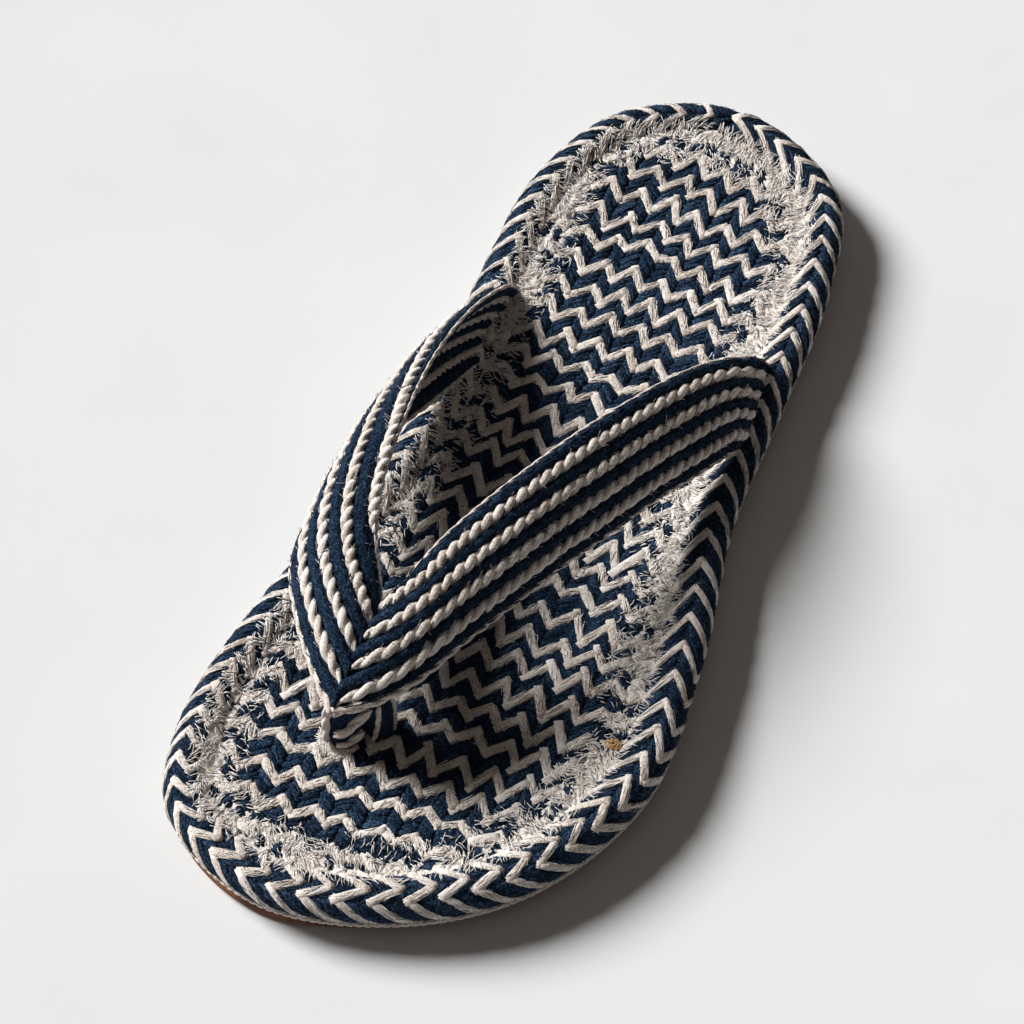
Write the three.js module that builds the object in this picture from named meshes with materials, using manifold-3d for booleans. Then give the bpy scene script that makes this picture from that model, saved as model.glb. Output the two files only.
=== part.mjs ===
// Woven thong slipper for a left foot, in millimetres.
// +Y points to the heel, +X to the outer (lateral) side and +Z up. The origin lies on the ground
// at the middle of the sole's length and width.

import * as THREE from 'three';
import { mergeVertices } from 'three/addons/utils/BufferGeometryUtils.js';
import Module from 'manifold-3d';

const wasm = await Module();
wasm.setup();

// Driving dimensions of the sole
const SOLE_LENGTH = 270;
const SOLE_WIDTH = 110;
const OUTLINE_STEPS = 72;
const GAP = 0.3;

const OUTSOLE_THICKNESS = 3;
const OUTSOLE_INSET = 3.1;
const OUTSOLE_EDGE = 0.5;

const PIPING_DIAMETER = 1.9;
const PIPING_INSET = 0.8;
const PIPING_SIDES = 8;

const RIM_WIDEST_HEIGHT = 8;
const RIM_CREST_HEIGHT = 12.8;
const RIM_CREST_INSET = 4.8;
const TAPE_WIDTH_ON_TOP = 10.8;
const TAPE_THICKNESS = 1.6;
const RIM_TUCK = 1.6;
const RIM_LOWER_SHARES = [0.96, 0.55];
const RIM_UPPER_TURNS = [0, 25, 48, 70, 90];
const RIM_SLOPE_SHARES = [0.4, 0.75, 1];

const FOOTBED_EDGE_HEIGHT = 10.8;
const FOOTBED_DISH = 0.9;
const SPINE_X = -9.7;
const SPINE_END = 95;
const PANEL_SHARES = [0, 0.3, 0.62];

// Driving dimensions of the straps
const BAND_THICKNESS = 2.4;
const CORD_COUNT = 4;
const CORD_WIDTH = 2.9;
const STRIPE_WIDTH = 2.7;
const CORD_RISE = 0.9;
const STATIONS_PER_ROW = 2;
const INNER_POINTS = 5;
const POCKET_CLEARANCE = 0.5;

const POST_LENGTH = 16.4;
const POST_THICKNESS = 7;
const POST_TURN = 46.2;
const POST_BOTTOM = 4.5;
const POST_TOP = 30.4;
const POST_SIDES = 20;

// Half widths of the sole along its length, each side of the line x = 0, at the rim's widest height.
// The two single points are the back of the heel and the tip of the toe.
const HEEL_BACK = { x: -13.8, y: SOLE_LENGTH / 2 };
const TOE_TIP = { x: -15.1, y: -SOLE_LENGTH / 2 };
const SOLE_ROWS = [
  { y: 120, medial: -43.3, lateral: 20.8 },
  { y: 90, medial: -54.4, lateral: 32.0 },
  { y: 50, medial: -52.1, lateral: 36.7 },
  { y: 10, medial: -46.3, lateral: 40.4 },
  { y: -30, medial: -48.4, lateral: 50.4 },
  { y: -70, medial: -54.1, lateral: 54.7 },
  { y: -104, medial: -53.3, lateral: 41.2 },
  { y: -125, medial: -43.5, lateral: 17.2 },
];

// Each row of a band gives its front (toe side) edge, its rear edge and how far the middle of the
// band stands out from the straight line between them. The first row is the seam over the toe post,
// the last ones run down into the pocket in the sole.
const MEDIAL_ROWS = [
  { front: [-15.2, -94.0, 29.6], rear: [-17.4, -67.0, 33.6], crown: 2.0 },
  { front: [-24.0, -86.4, 30.2], rear: [-20.8, -60.8, 36.0], crown: 3.0 },
  { front: [-34.0, -76.0, 29.8], rear: [-25.4, -54.0, 37.8], crown: 3.2 },
  { front: [-43.6, -62.4, 28.6], rear: [-30.3, -44.2, 39.5], crown: 3.0 },
  { front: [-46.8, -46.0, 26.2], rear: [-34.0, -31.0, 40.6], crown: 3.4 },
  { front: [-46.9, -27.0, 22.4], rear: [-36.8, -17.0, 40.0], crown: 4.5 },
  { front: [-45.3, -9.6, 18.4], rear: [-39.3, -4.0, 37.4], crown: 5.6 },
  { front: [-42.5, 3.6, 15.8], rear: [-41.2, 10.0, 33.4], crown: 6.2 },
  { front: [-40.4, 12.5, 14.4], rear: [-42.0, 24.0, 28.6], crown: 6.2 },
  { front: [-39.2, 18.8, 13.0], rear: [-42.0, 36.0, 22.6], crown: 4.8 },
  { front: [-38.8, 22.8, 11.6], rear: [-41.4, 46.0, 16.0], crown: 2.6 },
  { front: [-38.9, 24.6, 9.0], rear: [-41.0, 51.2, 9.4], crown: 0.8 },
  { front: [-39.2, 25.2, 5.5], rear: [-41.3, 52.2, 5.5], crown: 0.4 },
];
const LATERAL_ROWS = [
  { front: [-15.8, -94.0, 29.6], rear: [-17.8, -67.0, 33.6], crown: 2.0 },
  { front: [-9.3, -88.2, 30.0], rear: [-16.2, -62.0, 36.3], crown: 2.6 },
  { front: [-4.2, -81.0, 30.0], rear: [-14.8, -57.2, 37.5], crown: 3.0 },
  { front: [-0.8, -73.5, 30.0], rear: [-13.5, -52.4, 38.4], crown: 3.0 },
  { front: [2.0, -64.0, 29.5], rear: [-12.0, -46.0, 39.3], crown: 3.0 },
  { front: [6.5, -50.0, 28.0], rear: [-8.2, -34.0, 40.0], crown: 3.0 },
  { front: [11.5, -33.0, 25.6], rear: [-3.2, -19.8, 40.0], crown: 3.0 },
  { front: [17.0, -16.0, 22.3], rear: [2.6, -3.0, 38.3], crown: 3.0 },
  { front: [22.6, 2.0, 18.8], rear: [8.5, 13.5, 34.8], crown: 3.0 },
  { front: [27.5, 14.0, 16.4], rear: [13.8, 28.5, 30.3], crown: 2.6 },
  { front: [30.6, 22.0, 14.9], rear: [18.5, 40.6, 24.8], crown: 2.0 },
  { front: [32.2, 26.4, 13.6], rear: [23.6, 50.0, 19.2], crown: 1.4 },
  { front: [32.6, 28.2, 11.4], rear: [27.4, 55.6, 13.6], crown: 0.8 },
  { front: [32.2, 28.8, 8.8], rear: [28.0, 56.6, 9.2], crown: 0.4 },
  { front: [31.8, 29.0, 5.5], rear: [27.8, 56.8, 5.5], crown: 0.2 },
];
const POST_CENTRE = { x: -13.0, y: -86.4 };
const POST_LEVELS = [
  { height: POST_BOTTOM, size: 1, back: 0 },
  { height: 20, size: 1, back: 0 },
  { height: 27, size: 0.92, back: 0.8 },
  { height: POST_TOP, size: 0.78, back: 2.2 },
];

// Outline of the sole and the rings that are set in from it

function outlineCurve() {
  const lateral = SOLE_ROWS.map((row) => new THREE.Vector3(row.lateral, row.y, 0));
  const medial = SOLE_ROWS.map((row) => new THREE.Vector3(row.medial, row.y, 0)).reverse();
  const heel = new THREE.Vector3(HEEL_BACK.x, HEEL_BACK.y, 0);
  const toe = new THREE.Vector3(TOE_TIP.x, TOE_TIP.y, 0);
  const curve = new THREE.CatmullRomCurve3([heel, ...lateral, toe, ...medial], true, 'centripetal');
  curve.arcLengthDivisions = 2000;
  return curve;
}

function outlineFrames() {
  const curve = outlineCurve();
  const frames = [];
  for (let i = 0; i < OUTLINE_STEPS; i += 1) {
    const point = curve.getPointAt(i / OUTLINE_STEPS);
    const along = curve.getTangentAt(i / OUTLINE_STEPS);
    frames.push({ point, inward: new THREE.Vector3(along.y, -along.x, 0) });
  }
  return frames;
}

const FRAMES = outlineFrames();

function ring(inset, height) {
  return FRAMES.map(({ point, inward }) => {
    const moved = point.clone().addScaledVector(inward, inset);
    return moved.setZ(height);
  });
}

// Rings inside the top panel shrink towards a spine that runs down the middle of the foot.
function panelRing(share, height) {
  return ring(TAPE_WIDTH_ON_TOP + GAP, height).map((point) => {
    const spineY = THREE.MathUtils.clamp(point.y, -SPINE_END, SPINE_END);
    const spine = new THREE.Vector3(SPINE_X, spineY, height);
    return point.lerp(spine, share);
  });
}

// Solids from rows of points. Each row is a closed loop, and each loop has as many points.

function bandFaces(rows, wrap) {
  const count = rows[0].length;
  const last = wrap ? rows.length : rows.length - 1;
  const faces = [];
  for (let r = 0; r < last; r += 1) {
    const next = (r + 1) % rows.length;
    for (let i = 0; i < count; i += 1) {
      const j = (i + 1) % count;
      const [a, b, c, d] = [r * count + i, r * count + j, next * count + j, next * count + i];
      faces.push([a, b, c], [a, c, d]);
    }
  }
  return faces;
}

// Triangles that close a loop. They turn the same way as the loop, or against it.
function capFaces(flatLoop, start, against) {
  const loopTurn = Math.sign(THREE.ShapeUtils.area(flatLoop));
  return THREE.ShapeUtils.triangulateShape(flatLoop, []).map(([a, b, c]) => {
    const turn = Math.sign(THREE.ShapeUtils.area([flatLoop[a], flatLoop[b], flatLoop[c]]));
    const withLoop = turn === loopTurn;
    return withLoop === !against ? [start + a, start + b, start + c] : [start + a, start + c, start + b];
  });
}

function signedVolume(points, faces) {
  return faces.reduce((sum, [a, b, c]) => {
    const cross = new THREE.Vector3().crossVectors(points[b], points[c]);
    return sum + points[a].dot(cross) / 6;
  }, 0);
}

function solidFrom(points, faces) {
  const outward = signedVolume(points, faces) > 0;
  const turned = outward ? faces : faces.map(([a, b, c]) => [a, c, b]);
  const geometry = new THREE.BufferGeometry();
  const places = points.flatMap((p) => [p.x, p.y, p.z]);
  geometry.setAttribute('position', new THREE.Float32BufferAttribute(places, 3));
  geometry.setIndex(turned.flat());
  return toManifold(geometry);
}

function toManifold(geometry) {
  const bare = geometry.clone();
  bare.deleteAttribute('normal');
  bare.deleteAttribute('uv');
  const merged = mergeVertices(bare, 1e-4);
  return new wasm.Manifold(new wasm.Mesh({
    numProp: 3,
    vertProperties: new Float32Array(merged.attributes.position.array),
    triVerts: new Uint32Array(merged.index.array),
  }));
}

function toGeometry(manifold) {
  const mesh = manifold.getMesh();
  const geometry = new THREE.BufferGeometry();
  geometry.setAttribute('position', new THREE.Float32BufferAttribute(mesh.vertProperties, 3));
  geometry.setIndex(Array.from(mesh.triVerts));
  const faceted = geometry.toNonIndexed();
  faceted.computeVertexNormals();
  return faceted;
}

// A pile of rings closed above and below, as the outsole and the footbed are
function stackedSolid(rings) {
  const points = rings.flat();
  const flat = (loop) => loop.map((p) => new THREE.Vector2(p.x, p.y));
  const lastStart = points.length - rings[0].length;
  const side = bandFaces(rings, false);
  const bottom = capFaces(flat(rings[0]), 0, true);
  const top = capFaces(flat(rings[rings.length - 1]), lastStart, false);
  return solidFrom(points, [...side, ...bottom, ...top]);
}

// A section that runs once round the outline, as the piping and the tape do
function hoopSolid(section) {
  const rings = section.map(([inset, height]) => ring(inset, height));
  return solidFrom(rings.flat(), bandFaces(rings, true));
}

// The pieces of the sole

function makeOutsole() {
  return stackedSolid([
    ring(OUTSOLE_INSET + OUTSOLE_EDGE, 0),
    ring(OUTSOLE_INSET, OUTSOLE_EDGE),
    ring(OUTSOLE_INSET, OUTSOLE_THICKNESS - OUTSOLE_EDGE / 2),
    ring(OUTSOLE_INSET + OUTSOLE_EDGE / 2, OUTSOLE_THICKNESS),
  ]);
}

const PIPING_BOTTOM = OUTSOLE_THICKNESS + GAP;
const PIPING_TOP = PIPING_BOTTOM + PIPING_DIAMETER;

function makePiping() {
  const radius = PIPING_DIAMETER / 2;
  const section = [];
  for (let i = 0; i < PIPING_SIDES; i += 1) {
    const angle = (2 * Math.PI * i) / PIPING_SIDES;
    const inset = PIPING_INSET + radius - radius * Math.cos(angle);
    section.push([inset, PIPING_BOTTOM + radius + radius * Math.sin(angle)]);
  }
  return hoopSolid(section);
}

// Outer line of the rim from under the bulge, over the crest and down to the panel, as
// [inset, height] pairs: an arc below the widest height, one above it, and a soft slope inwards.
function rimLine() {
  const low = RIM_WIDEST_HEIGHT - PIPING_TOP - GAP;
  const high = RIM_CREST_HEIGHT - RIM_WIDEST_HEIGHT;
  const drop = RIM_CREST_HEIGHT - FOOTBED_EDGE_HEIGHT;
  const lower = RIM_LOWER_SHARES.map((share) => {
    return [RIM_TUCK * (1 - Math.sqrt(1 - share * share)), RIM_WIDEST_HEIGHT - low * share];
  });
  const upper = RIM_UPPER_TURNS.map((degrees) => {
    const angle = THREE.MathUtils.degToRad(degrees);
    return [RIM_CREST_INSET * (1 - Math.cos(angle)), RIM_WIDEST_HEIGHT + high * Math.sin(angle)];
  });
  const slope = RIM_SLOPE_SHARES.map((share) => {
    const inset = THREE.MathUtils.lerp(RIM_CREST_INSET, TAPE_WIDTH_ON_TOP, share);
    return [inset, RIM_CREST_HEIGHT - drop * share * share];
  });
  return [...lower, ...upper, ...slope];
}

// The same line moved to the inside of a wall, by the local normal
function innerLine(line, depth) {
  return line.map(([inset, height], i) => {
    const before = line[Math.max(i - 1, 0)];
    const after = line[Math.min(i + 1, line.length - 1)];
    const along = new THREE.Vector2(after[0] - before[0], after[1] - before[1]).normalize();
    return [inset + along.y * depth, height - along.x * depth];
  });
}

function makeEdgeTape(cutters) {
  const outer = rimLine();
  const inner = innerLine(outer, TAPE_THICKNESS);
  return cutAway(hoopSolid([...outer, ...inner.reverse()]), cutters);
}

function makeFootbed(cutters) {
  const inside = innerLine(rimLine(), TAPE_THICKNESS + GAP);
  const foot = PIPING_INSET + PIPING_DIAMETER + GAP;
  const floor = PIPING_BOTTOM;
  const lower = [ring(foot, floor), ring(foot, PIPING_TOP)];
  const side = inside.map(([inset, height]) => ring(inset, height));
  side.push(ring(TAPE_WIDTH_ON_TOP + GAP, inside[inside.length - 1][1]));
  const top = PANEL_SHARES.map((share) => {
    const height = FOOTBED_EDGE_HEIGHT - (FOOTBED_DISH * share) / PANEL_SHARES[PANEL_SHARES.length - 1];
    return panelRing(share, height);
  });
  return cutAway(stackedSolid([...lower, ...side, ...top]), cutters);
}

function cutAway(solid, cutters) {
  return cutters.reduce((rest, cutter) => rest.subtract(cutter), solid);
}

// The straps

const STRIPES = CORD_COUNT + 1;
const BAND_WIDTH = STRIPES * STRIPE_WIDTH + CORD_COUNT * CORD_WIDTH;

// Where a section's outer points lie across the band, and how far each stands up
function bandProfile() {
  const profile = [{ across: 0, rise: 0 }];
  for (let cord = 0; cord < CORD_COUNT; cord += 1) {
    const start = STRIPE_WIDTH + cord * (STRIPE_WIDTH + CORD_WIDTH);
    for (const [share, rise] of [[0, 0], [0.22, 0.8], [0.5, 1], [0.78, 0.8], [1, 0]]) {
      profile.push({ across: (start + share * CORD_WIDTH) / BAND_WIDTH, rise: rise * CORD_RISE });
    }
  }
  profile.push({ across: 1, rise: 0 });
  return profile;
}

function splineThrough(points) {
  const curve = new THREE.CatmullRomCurve3(points, false, 'centripetal');
  return (t) => curve.getPoint(t);
}

// Sections of a band at even steps between its rows
function bandStations(rows) {
  const front = splineThrough(rows.map((row) => new THREE.Vector3(...row.front)));
  const rear = splineThrough(rows.map((row) => new THREE.Vector3(...row.rear)));
  const steps = (rows.length - 1) * STATIONS_PER_ROW;
  const stations = [];
  for (let i = 0; i <= steps; i += 1) {
    const t = i / steps;
    const place = t * (rows.length - 1);
    const row = Math.min(Math.floor(place), rows.length - 2);
    const crown = THREE.MathUtils.lerp(rows[row].crown, rows[row + 1].crown, place - row);
    stations.push({ front: front(t), rear: rear(t), crown });
  }
  return stations;
}

function stationAxes(stations, index, side) {
  const middle = (s) => s.front.clone().lerp(s.rear, 0.5);
  const before = middle(stations[Math.max(index - 1, 0)]);
  const after = middle(stations[Math.min(index + 1, stations.length - 1)]);
  const along = after.sub(before).normalize();
  const { front, rear } = stations[index];
  const chord = rear.clone().sub(front);
  const width = chord.length();
  chord.normalize();
  const out = new THREE.Vector3().crossVectors(chord, along).multiplyScalar(side).normalize();
  return { chord, width, out };
}

// One point of a section: across runs from the front edge, 0, to the rear edge, 1
function sectionPoint(station, axes, across, lift) {
  const bulge = 4 * station.crown * across * (1 - across);
  const slope = (4 * station.crown * (1 - 2 * across)) / axes.width;
  const normal = axes.out.clone().addScaledVector(axes.chord, -slope).normalize();
  const point = station.front.clone().lerp(station.rear, across);
  return point.addScaledVector(axes.out, bulge).addScaledVector(normal, lift);
}

function bandSection(station, axes, grow) {
  const half = BAND_THICKNESS / 2 + grow;
  const widen = grow / axes.width;
  const outer = bandProfile().map(({ across, rise }) => {
    const placed = across === 0 ? -widen : across === 1 ? 1 + widen : across;
    return sectionPoint(station, axes, placed, half + rise);
  });
  const inner = [];
  for (let i = 0; i < INNER_POINTS; i += 1) {
    const across = 1 + widen - (i * (1 + 2 * widen)) / (INNER_POINTS - 1);
    inner.push(sectionPoint(station, axes, across, -half));
  }
  return [...outer, ...inner];
}

// The section laid flat, for closing the two ends of a band
function flatSection() {
  const outer = bandProfile().map(({ across, rise }) => new THREE.Vector2(across, 1 + rise));
  const inner = [];
  for (let i = 0; i < INNER_POINTS; i += 1) {
    inner.push(new THREE.Vector2(1 - i / (INNER_POINTS - 1), 0));
  }
  return [...outer, ...inner];
}

function makeBand(rows, side, grow = 0) {
  const stations = bandStations(rows);
  const loops = stations.map((station, i) => bandSection(station, stationAxes(stations, i, side), grow));
  const points = loops.flat();
  const lastStart = points.length - loops[0].length;
  const ends = [...capFaces(flatSection(), 0, true), ...capFaces(flatSection(), lastStart, false)];
  return solidFrom(points, [...bandFaces(loops, false), ...ends]);
}

// The post is a flat slab with round ends that faces the toe's outer side and tapers into the seam.
function postLoop(level, grow) {
  const turn = THREE.MathUtils.degToRad(POST_TURN);
  const radius = (POST_THICKNESS / 2) * level.size + grow;
  const straight = ((POST_LENGTH - POST_THICKNESS) / 2) * level.size;
  const loop = [];
  for (let i = 0; i < POST_SIDES; i += 1) {
    const angle = (2 * Math.PI * (i + 0.5)) / POST_SIDES;
    const along = radius * Math.cos(angle) + Math.sign(Math.cos(angle)) * straight;
    const across = radius * Math.sin(angle) + level.back;
    const x = POST_CENTRE.x + along * Math.cos(turn) - across * Math.sin(turn);
    const y = POST_CENTRE.y + along * Math.sin(turn) + across * Math.cos(turn);
    loop.push(new THREE.Vector3(x, y, level.height));
  }
  return loop;
}

function makePost(grow = 0) {
  const levels = POST_LEVELS.map((level, i) => ({ ...level, height: level.height - (i === 0 ? grow : 0) }));
  return stackedSolid(levels.map((level) => postLoop(level, grow)));
}

// A band grown by the clearance and a little deeper, as the tool that cuts its pocket in the sole
function pocketFor(rows, side) {
  const last = rows[rows.length - 1];
  const deeper = ([x, y, z]) => [x, y, z - POCKET_CLEARANCE];
  const end = { ...last, front: deeper(last.front), rear: deeper(last.rear) };
  return makeBand([...rows.slice(0, -1), end], side, POCKET_CLEARANCE);
}

const MEDIAL_SIDE = 1;
const LATERAL_SIDE = -1;

function makeStraps() {
  const medial = makeBand(MEDIAL_ROWS, MEDIAL_SIDE);
  const lateral = makeBand(LATERAL_ROWS, LATERAL_SIDE);
  return medial.add(lateral).add(makePost());
}

// Assembly

function mesh(name, solid, color, roughness) {
  const material = new THREE.MeshStandardMaterial({ color, roughness, metalness: 0 });
  const made = new THREE.Mesh(toGeometry(solid), material);
  made.name = name;
  return made;
}

const cutters = [
  pocketFor(MEDIAL_ROWS, MEDIAL_SIDE),
  pocketFor(LATERAL_ROWS, LATERAL_SIDE),
  makePost(POCKET_CLEARANCE),
];

const slipper = new THREE.Group();
slipper.name = 'thong_slipper';
slipper.add(mesh('outsole', makeOutsole(), '#8a5a3c', 0.75));
slipper.add(mesh('piping', makePiping(), '#d6c9b6', 0.9));
slipper.add(mesh('edge_tape', makeEdgeTape(cutters), '#1b2c4a', 0.95));
slipper.add(mesh('footbed', makeFootbed(cutters), '#2a3a56', 0.95));
slipper.add(mesh('thong_straps', makeStraps(), '#1b2c4a', 0.95));

export default slipper;
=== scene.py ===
# %% [markdown]
# # A woven thong slipper
#
# The slipper is made almost wholly of yarn. A sole panel woven in a navy and cream zigzag is held
# by a tape with the same zigzag, a ring of frayed ends lies between them, and two striped bands
# meet over a toe post. Yarn that is two or three tenths of a millimetre thick shows in the light as
# small ridges, so every strand here is real geometry, joined into a few large meshes.
#
# All lengths in this script are millimetres. They become metres when a mesh is written.

# %% The fixed frame
import math

import bmesh
import bpy
import numpy as np
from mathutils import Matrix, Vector


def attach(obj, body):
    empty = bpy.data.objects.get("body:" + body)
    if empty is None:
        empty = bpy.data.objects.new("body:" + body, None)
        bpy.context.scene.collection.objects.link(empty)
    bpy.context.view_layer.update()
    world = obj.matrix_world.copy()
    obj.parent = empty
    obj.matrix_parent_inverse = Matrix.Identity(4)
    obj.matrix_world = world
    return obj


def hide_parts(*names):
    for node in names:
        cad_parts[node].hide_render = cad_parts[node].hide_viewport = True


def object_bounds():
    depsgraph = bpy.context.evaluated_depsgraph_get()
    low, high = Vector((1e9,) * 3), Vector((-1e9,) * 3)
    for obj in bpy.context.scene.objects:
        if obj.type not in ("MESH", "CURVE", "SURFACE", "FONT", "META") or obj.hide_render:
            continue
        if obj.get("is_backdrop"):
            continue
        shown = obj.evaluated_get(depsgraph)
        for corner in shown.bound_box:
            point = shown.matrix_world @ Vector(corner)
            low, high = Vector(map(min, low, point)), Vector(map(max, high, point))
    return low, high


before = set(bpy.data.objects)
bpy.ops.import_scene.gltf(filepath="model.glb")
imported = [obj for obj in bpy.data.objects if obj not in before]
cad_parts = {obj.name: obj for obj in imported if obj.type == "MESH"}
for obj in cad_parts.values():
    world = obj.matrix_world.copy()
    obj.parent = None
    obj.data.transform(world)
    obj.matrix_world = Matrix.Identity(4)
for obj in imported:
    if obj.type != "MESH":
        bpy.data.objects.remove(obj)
cad_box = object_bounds()
MM = 0.001
print("nodes:", sorted(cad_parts))

# %% [markdown]
# ## Colours and nodes
#
# A colour picked from a screen is an sRGB value, but shaders add light, so they need linear
# values. One function turns a hex colour into those. A second one adds a shader node, sets what is
# fixed on it, links the rest and fills a colour ramp, which keeps each material short.

# %% Colour and node helpers
def linear(hex_colour):
    values = [int(hex_colour[i:i + 2], 16) / 255 for i in (1, 3, 5)]
    low, high = 12.92, 1.055
    parts = [v / low if v <= 0.04045 else ((v + 0.055) / high) ** 2.4 for v in values]
    return (*parts, 1.0)


def add(tree, kind, inputs=None, stops=(), **settings):
    made = tree.nodes.new("ShaderNode" + kind)
    for name, value in settings.items():
        setattr(made, name, value)
    for name, value in (inputs or {}).items():
        if isinstance(value, bpy.types.NodeSocket):
            tree.links.new(value, made.inputs[name])
        else:
            made.inputs[name].default_value = value
    for i, (place, colour) in enumerate(stops):
        elements = made.color_ramp.elements
        element = elements[i] if i < 2 else elements.new(place)
        element.position = place
        element.color = linear(colour)
    return made


def new_material(name, **surface):
    material = bpy.data.materials.new(name)
    material.use_nodes = True
    shader = material.node_tree.nodes["Principled BSDF"]
    for socket, value in surface.items():
        shader.inputs[socket.replace("_", " ")].default_value = value
    return material, material.node_tree, shader


print("navy in linear light:", [round(v, 3) for v in linear("#16273A")])

# %% [markdown]
# ## Yarn
#
# Cotton yarn is a bundle of twisted fibres. Three things make it look like yarn and not like
# plastic: fine streaks that run slantwise round the strand, a speckle where single fibres catch the
# light, and slow changes of tone from one strand to the next. The streaks follow each strand, so
# they read its UV map, which counts millimetres along and around. The speckle reads object
# coordinates, and is drawn coarser than real fibres, or it would not show. The change from strand to
# strand is an attribute called tint, written with the mesh.

# %% The yarn material
FIBRE_STREAK = 0.24
FIBRE_LENGTH = 2.0
FIBRE_RELIEF = 0.2
SPECK_SIZE = 0.5
SPECK_GAIN = 2.2
SPECK_DROP = -0.6
PATCH_SIZE = 14.0
PATCH_SHARE = 0.35
TWIST_DEGREES = 24


def times_plus(tree, value, times, plus):
    made = add(tree, "Math", {0: value, 1: times, 2: plus}, operation="MULTIPLY_ADD")
    return made.outputs[0]


def paint(tree, shader, share, base, over, height, strength, depth, invert=False):
    """Multiply two ramps into the base colour, and raise bumps from a height."""
    mixed = add(tree, "Mix", {"Factor": share, "A": base.outputs[0], "B": over.outputs[0]},
                data_type="RGBA", blend_type="MULTIPLY")
    raised = add(tree, "Bump", {"Height": height, "Strength": strength, "Distance": depth * MM},
                 invert=invert)
    tree.links.new(mixed.outputs["Result"], shader.inputs["Base Color"])
    tree.links.new(raised.outputs["Normal"], shader.inputs["Normal"])


def yarn_material(name, tones, patch_tones, bump, sheen_colour, sheen, streaks=1.0):
    surface = {"Roughness": 0.95, "Specular_IOR_Level": 0.12, "Sheen_Weight": sheen}
    surface |= {"Sheen_Roughness": 0.5, "Sheen_Tint": linear(sheen_colour)}
    material, tree, shader = new_material(name, **surface)
    place = add(tree, "TexCoord").outputs
    twist = (0, 0, math.radians(TWIST_DEGREES))
    streak = (1 / FIBRE_LENGTH, 1 / FIBRE_STREAK, 1)
    turned = add(tree, "Mapping", {"Vector": place["UV"], "Rotation": twist})
    along = add(tree, "Mapping", {"Vector": turned.outputs[0], "Scale": streak})
    fibres = add(tree, "TexNoise", {"Vector": along.outputs[0], "Scale": 1.0, "Detail": 3.0})
    specks = add(tree, "TexNoise", {"Vector": place["Object"], "Scale": 1 / (SPECK_SIZE * MM),
                                    "Detail": 4.0, "Roughness": 0.75})
    patches = add(tree, "TexNoise", {"Vector": place["Object"], "Scale": 1 / (PATCH_SIZE * MM),
                                     "Detail": 2.0})
    tint = add(tree, "Attribute", attribute_name="tint")
    specked = times_plus(tree, specks.outputs["Fac"], SPECK_GAIN, SPECK_DROP)
    blend = times_plus(tree, fibres.outputs["Fac"], streaks, specked)
    tone = times_plus(tree, blend, 1 / (1 + streaks), tint.outputs["Fac"])
    yarn = add(tree, "ValToRGB", {"Fac": tone}, stops=tones)
    patch = add(tree, "ValToRGB", {"Fac": patches.outputs["Fac"]}, stops=patch_tones)
    paint(tree, shader, PATCH_SHARE, yarn, patch, blend, bump, FIBRE_RELIEF)
    return material


NAVY_TONES = [(0.34, "#060F1B"), (0.46, "#13263B"), (0.57, "#1F364E"), (0.74, "#506680")]
NAVY_PATCHES = [(0.3, "#B9C2D6"), (0.7, "#FFFFFF")]
CREAM_TONES = [(0.28, "#94867C"), (0.4, "#D2C6BB"), (0.49, "#EEE5DD"), (0.62, "#FBF7F3")]
# The frayed ends are the same cream cotton as the strokes, painted brighter: the lighter tones stand in for
# light that passes through loose fibres and fills the small shadows between them.
CREAM_TONES_PAINTED_BRIGHTER = [(0.26, "#B2A59B"), (0.38, "#E6DCD3"), (0.48, "#F7F1EB"), (0.6, "#FDFBF9")]
CREAM_PATCHES = [(0.3, "#E7DED8"), (0.7, "#FFFFFF")]
WHITE = "#FFFFFF"
NAVY_SHEEN = "#5F7390"
navy_yarn = yarn_material("navy_cotton_yarn", NAVY_TONES, NAVY_PATCHES, 0.6, NAVY_SHEEN, 0.05, streaks=0.3)
cream_yarn = yarn_material("cream_cotton_yarn", CREAM_TONES, CREAM_PATCHES, 0.7, WHITE, 0.1)
# Material of the frayed ends: cream yarn whose brighter tones are painted fill light.
cream_painted_brighter = yarn_material("cream_cotton_painted_brighter", CREAM_TONES_PAINTED_BRIGHTER, CREAM_PATCHES, 0.5, WHITE, 0.15)
print("yarn materials:", navy_yarn.name, cream_yarn.name, cream_painted_brighter.name)

# %% [markdown]
# ## Lines and tables
#
# Most shapes here follow a line, and most settings come from a short table with named columns. These
# few functions read both.

# %% Helpers for lines and tables
def table(columns, *rows):
    """Rows under named columns. Each column becomes one array."""
    return {name: np.array(column, float) for name, column in zip(columns.split(), zip(*rows))}


def unit(vectors):
    return vectors / (np.linalg.norm(vectors, axis=-1, keepdims=True) + 1e-12)


def run_of(points):
    """How far along a line each of its points lies."""
    return np.r_[0, np.cumsum(np.linalg.norm(np.diff(points, axis=0), axis=1))]


def pick(places, at, values):
    """Values at places along a line: single numbers, or points with a column for each axis."""
    if values.ndim == 1:
        return np.interp(places, at, values)
    return np.stack([np.interp(places, at, column) for column in values.T], -1)


def upright(flat, height):
    """Points over flat ones, and the way up at each."""
    points = np.concatenate([flat, height[..., None]], -1)
    return points, np.broadcast_to([0.0, 0.0, 1.0], points.shape)


def joined(groups):
    """Several groups of arrays, such as (paths, ups), joined part by part."""
    return [np.concatenate(part) for part in zip(*groups)]


# %% [markdown]
# ## Two ways to make a mesh
#
# A surface such as the tape is easiest to think of as a flat sheet that is wrapped: a grid whose
# corners run from 0 to 1 both ways, with a rule that says where each point goes. The grid operator
# makes the points and faces, the rule bends it, and merging doubles closes the seam.
#
# Strands are different. There are thousands, and all are the same tube on another path, so they
# are joined meshes made from arrays: one call places a whole family of paths at once.

# %% Wrapped sheets
def shown(name, data):
    """Put a mesh, a lamp or a camera into the scene, unturned and unscaled."""
    made = bpy.data.objects.new(name, data)
    bpy.context.scene.collection.objects.link(made)
    return made


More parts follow.
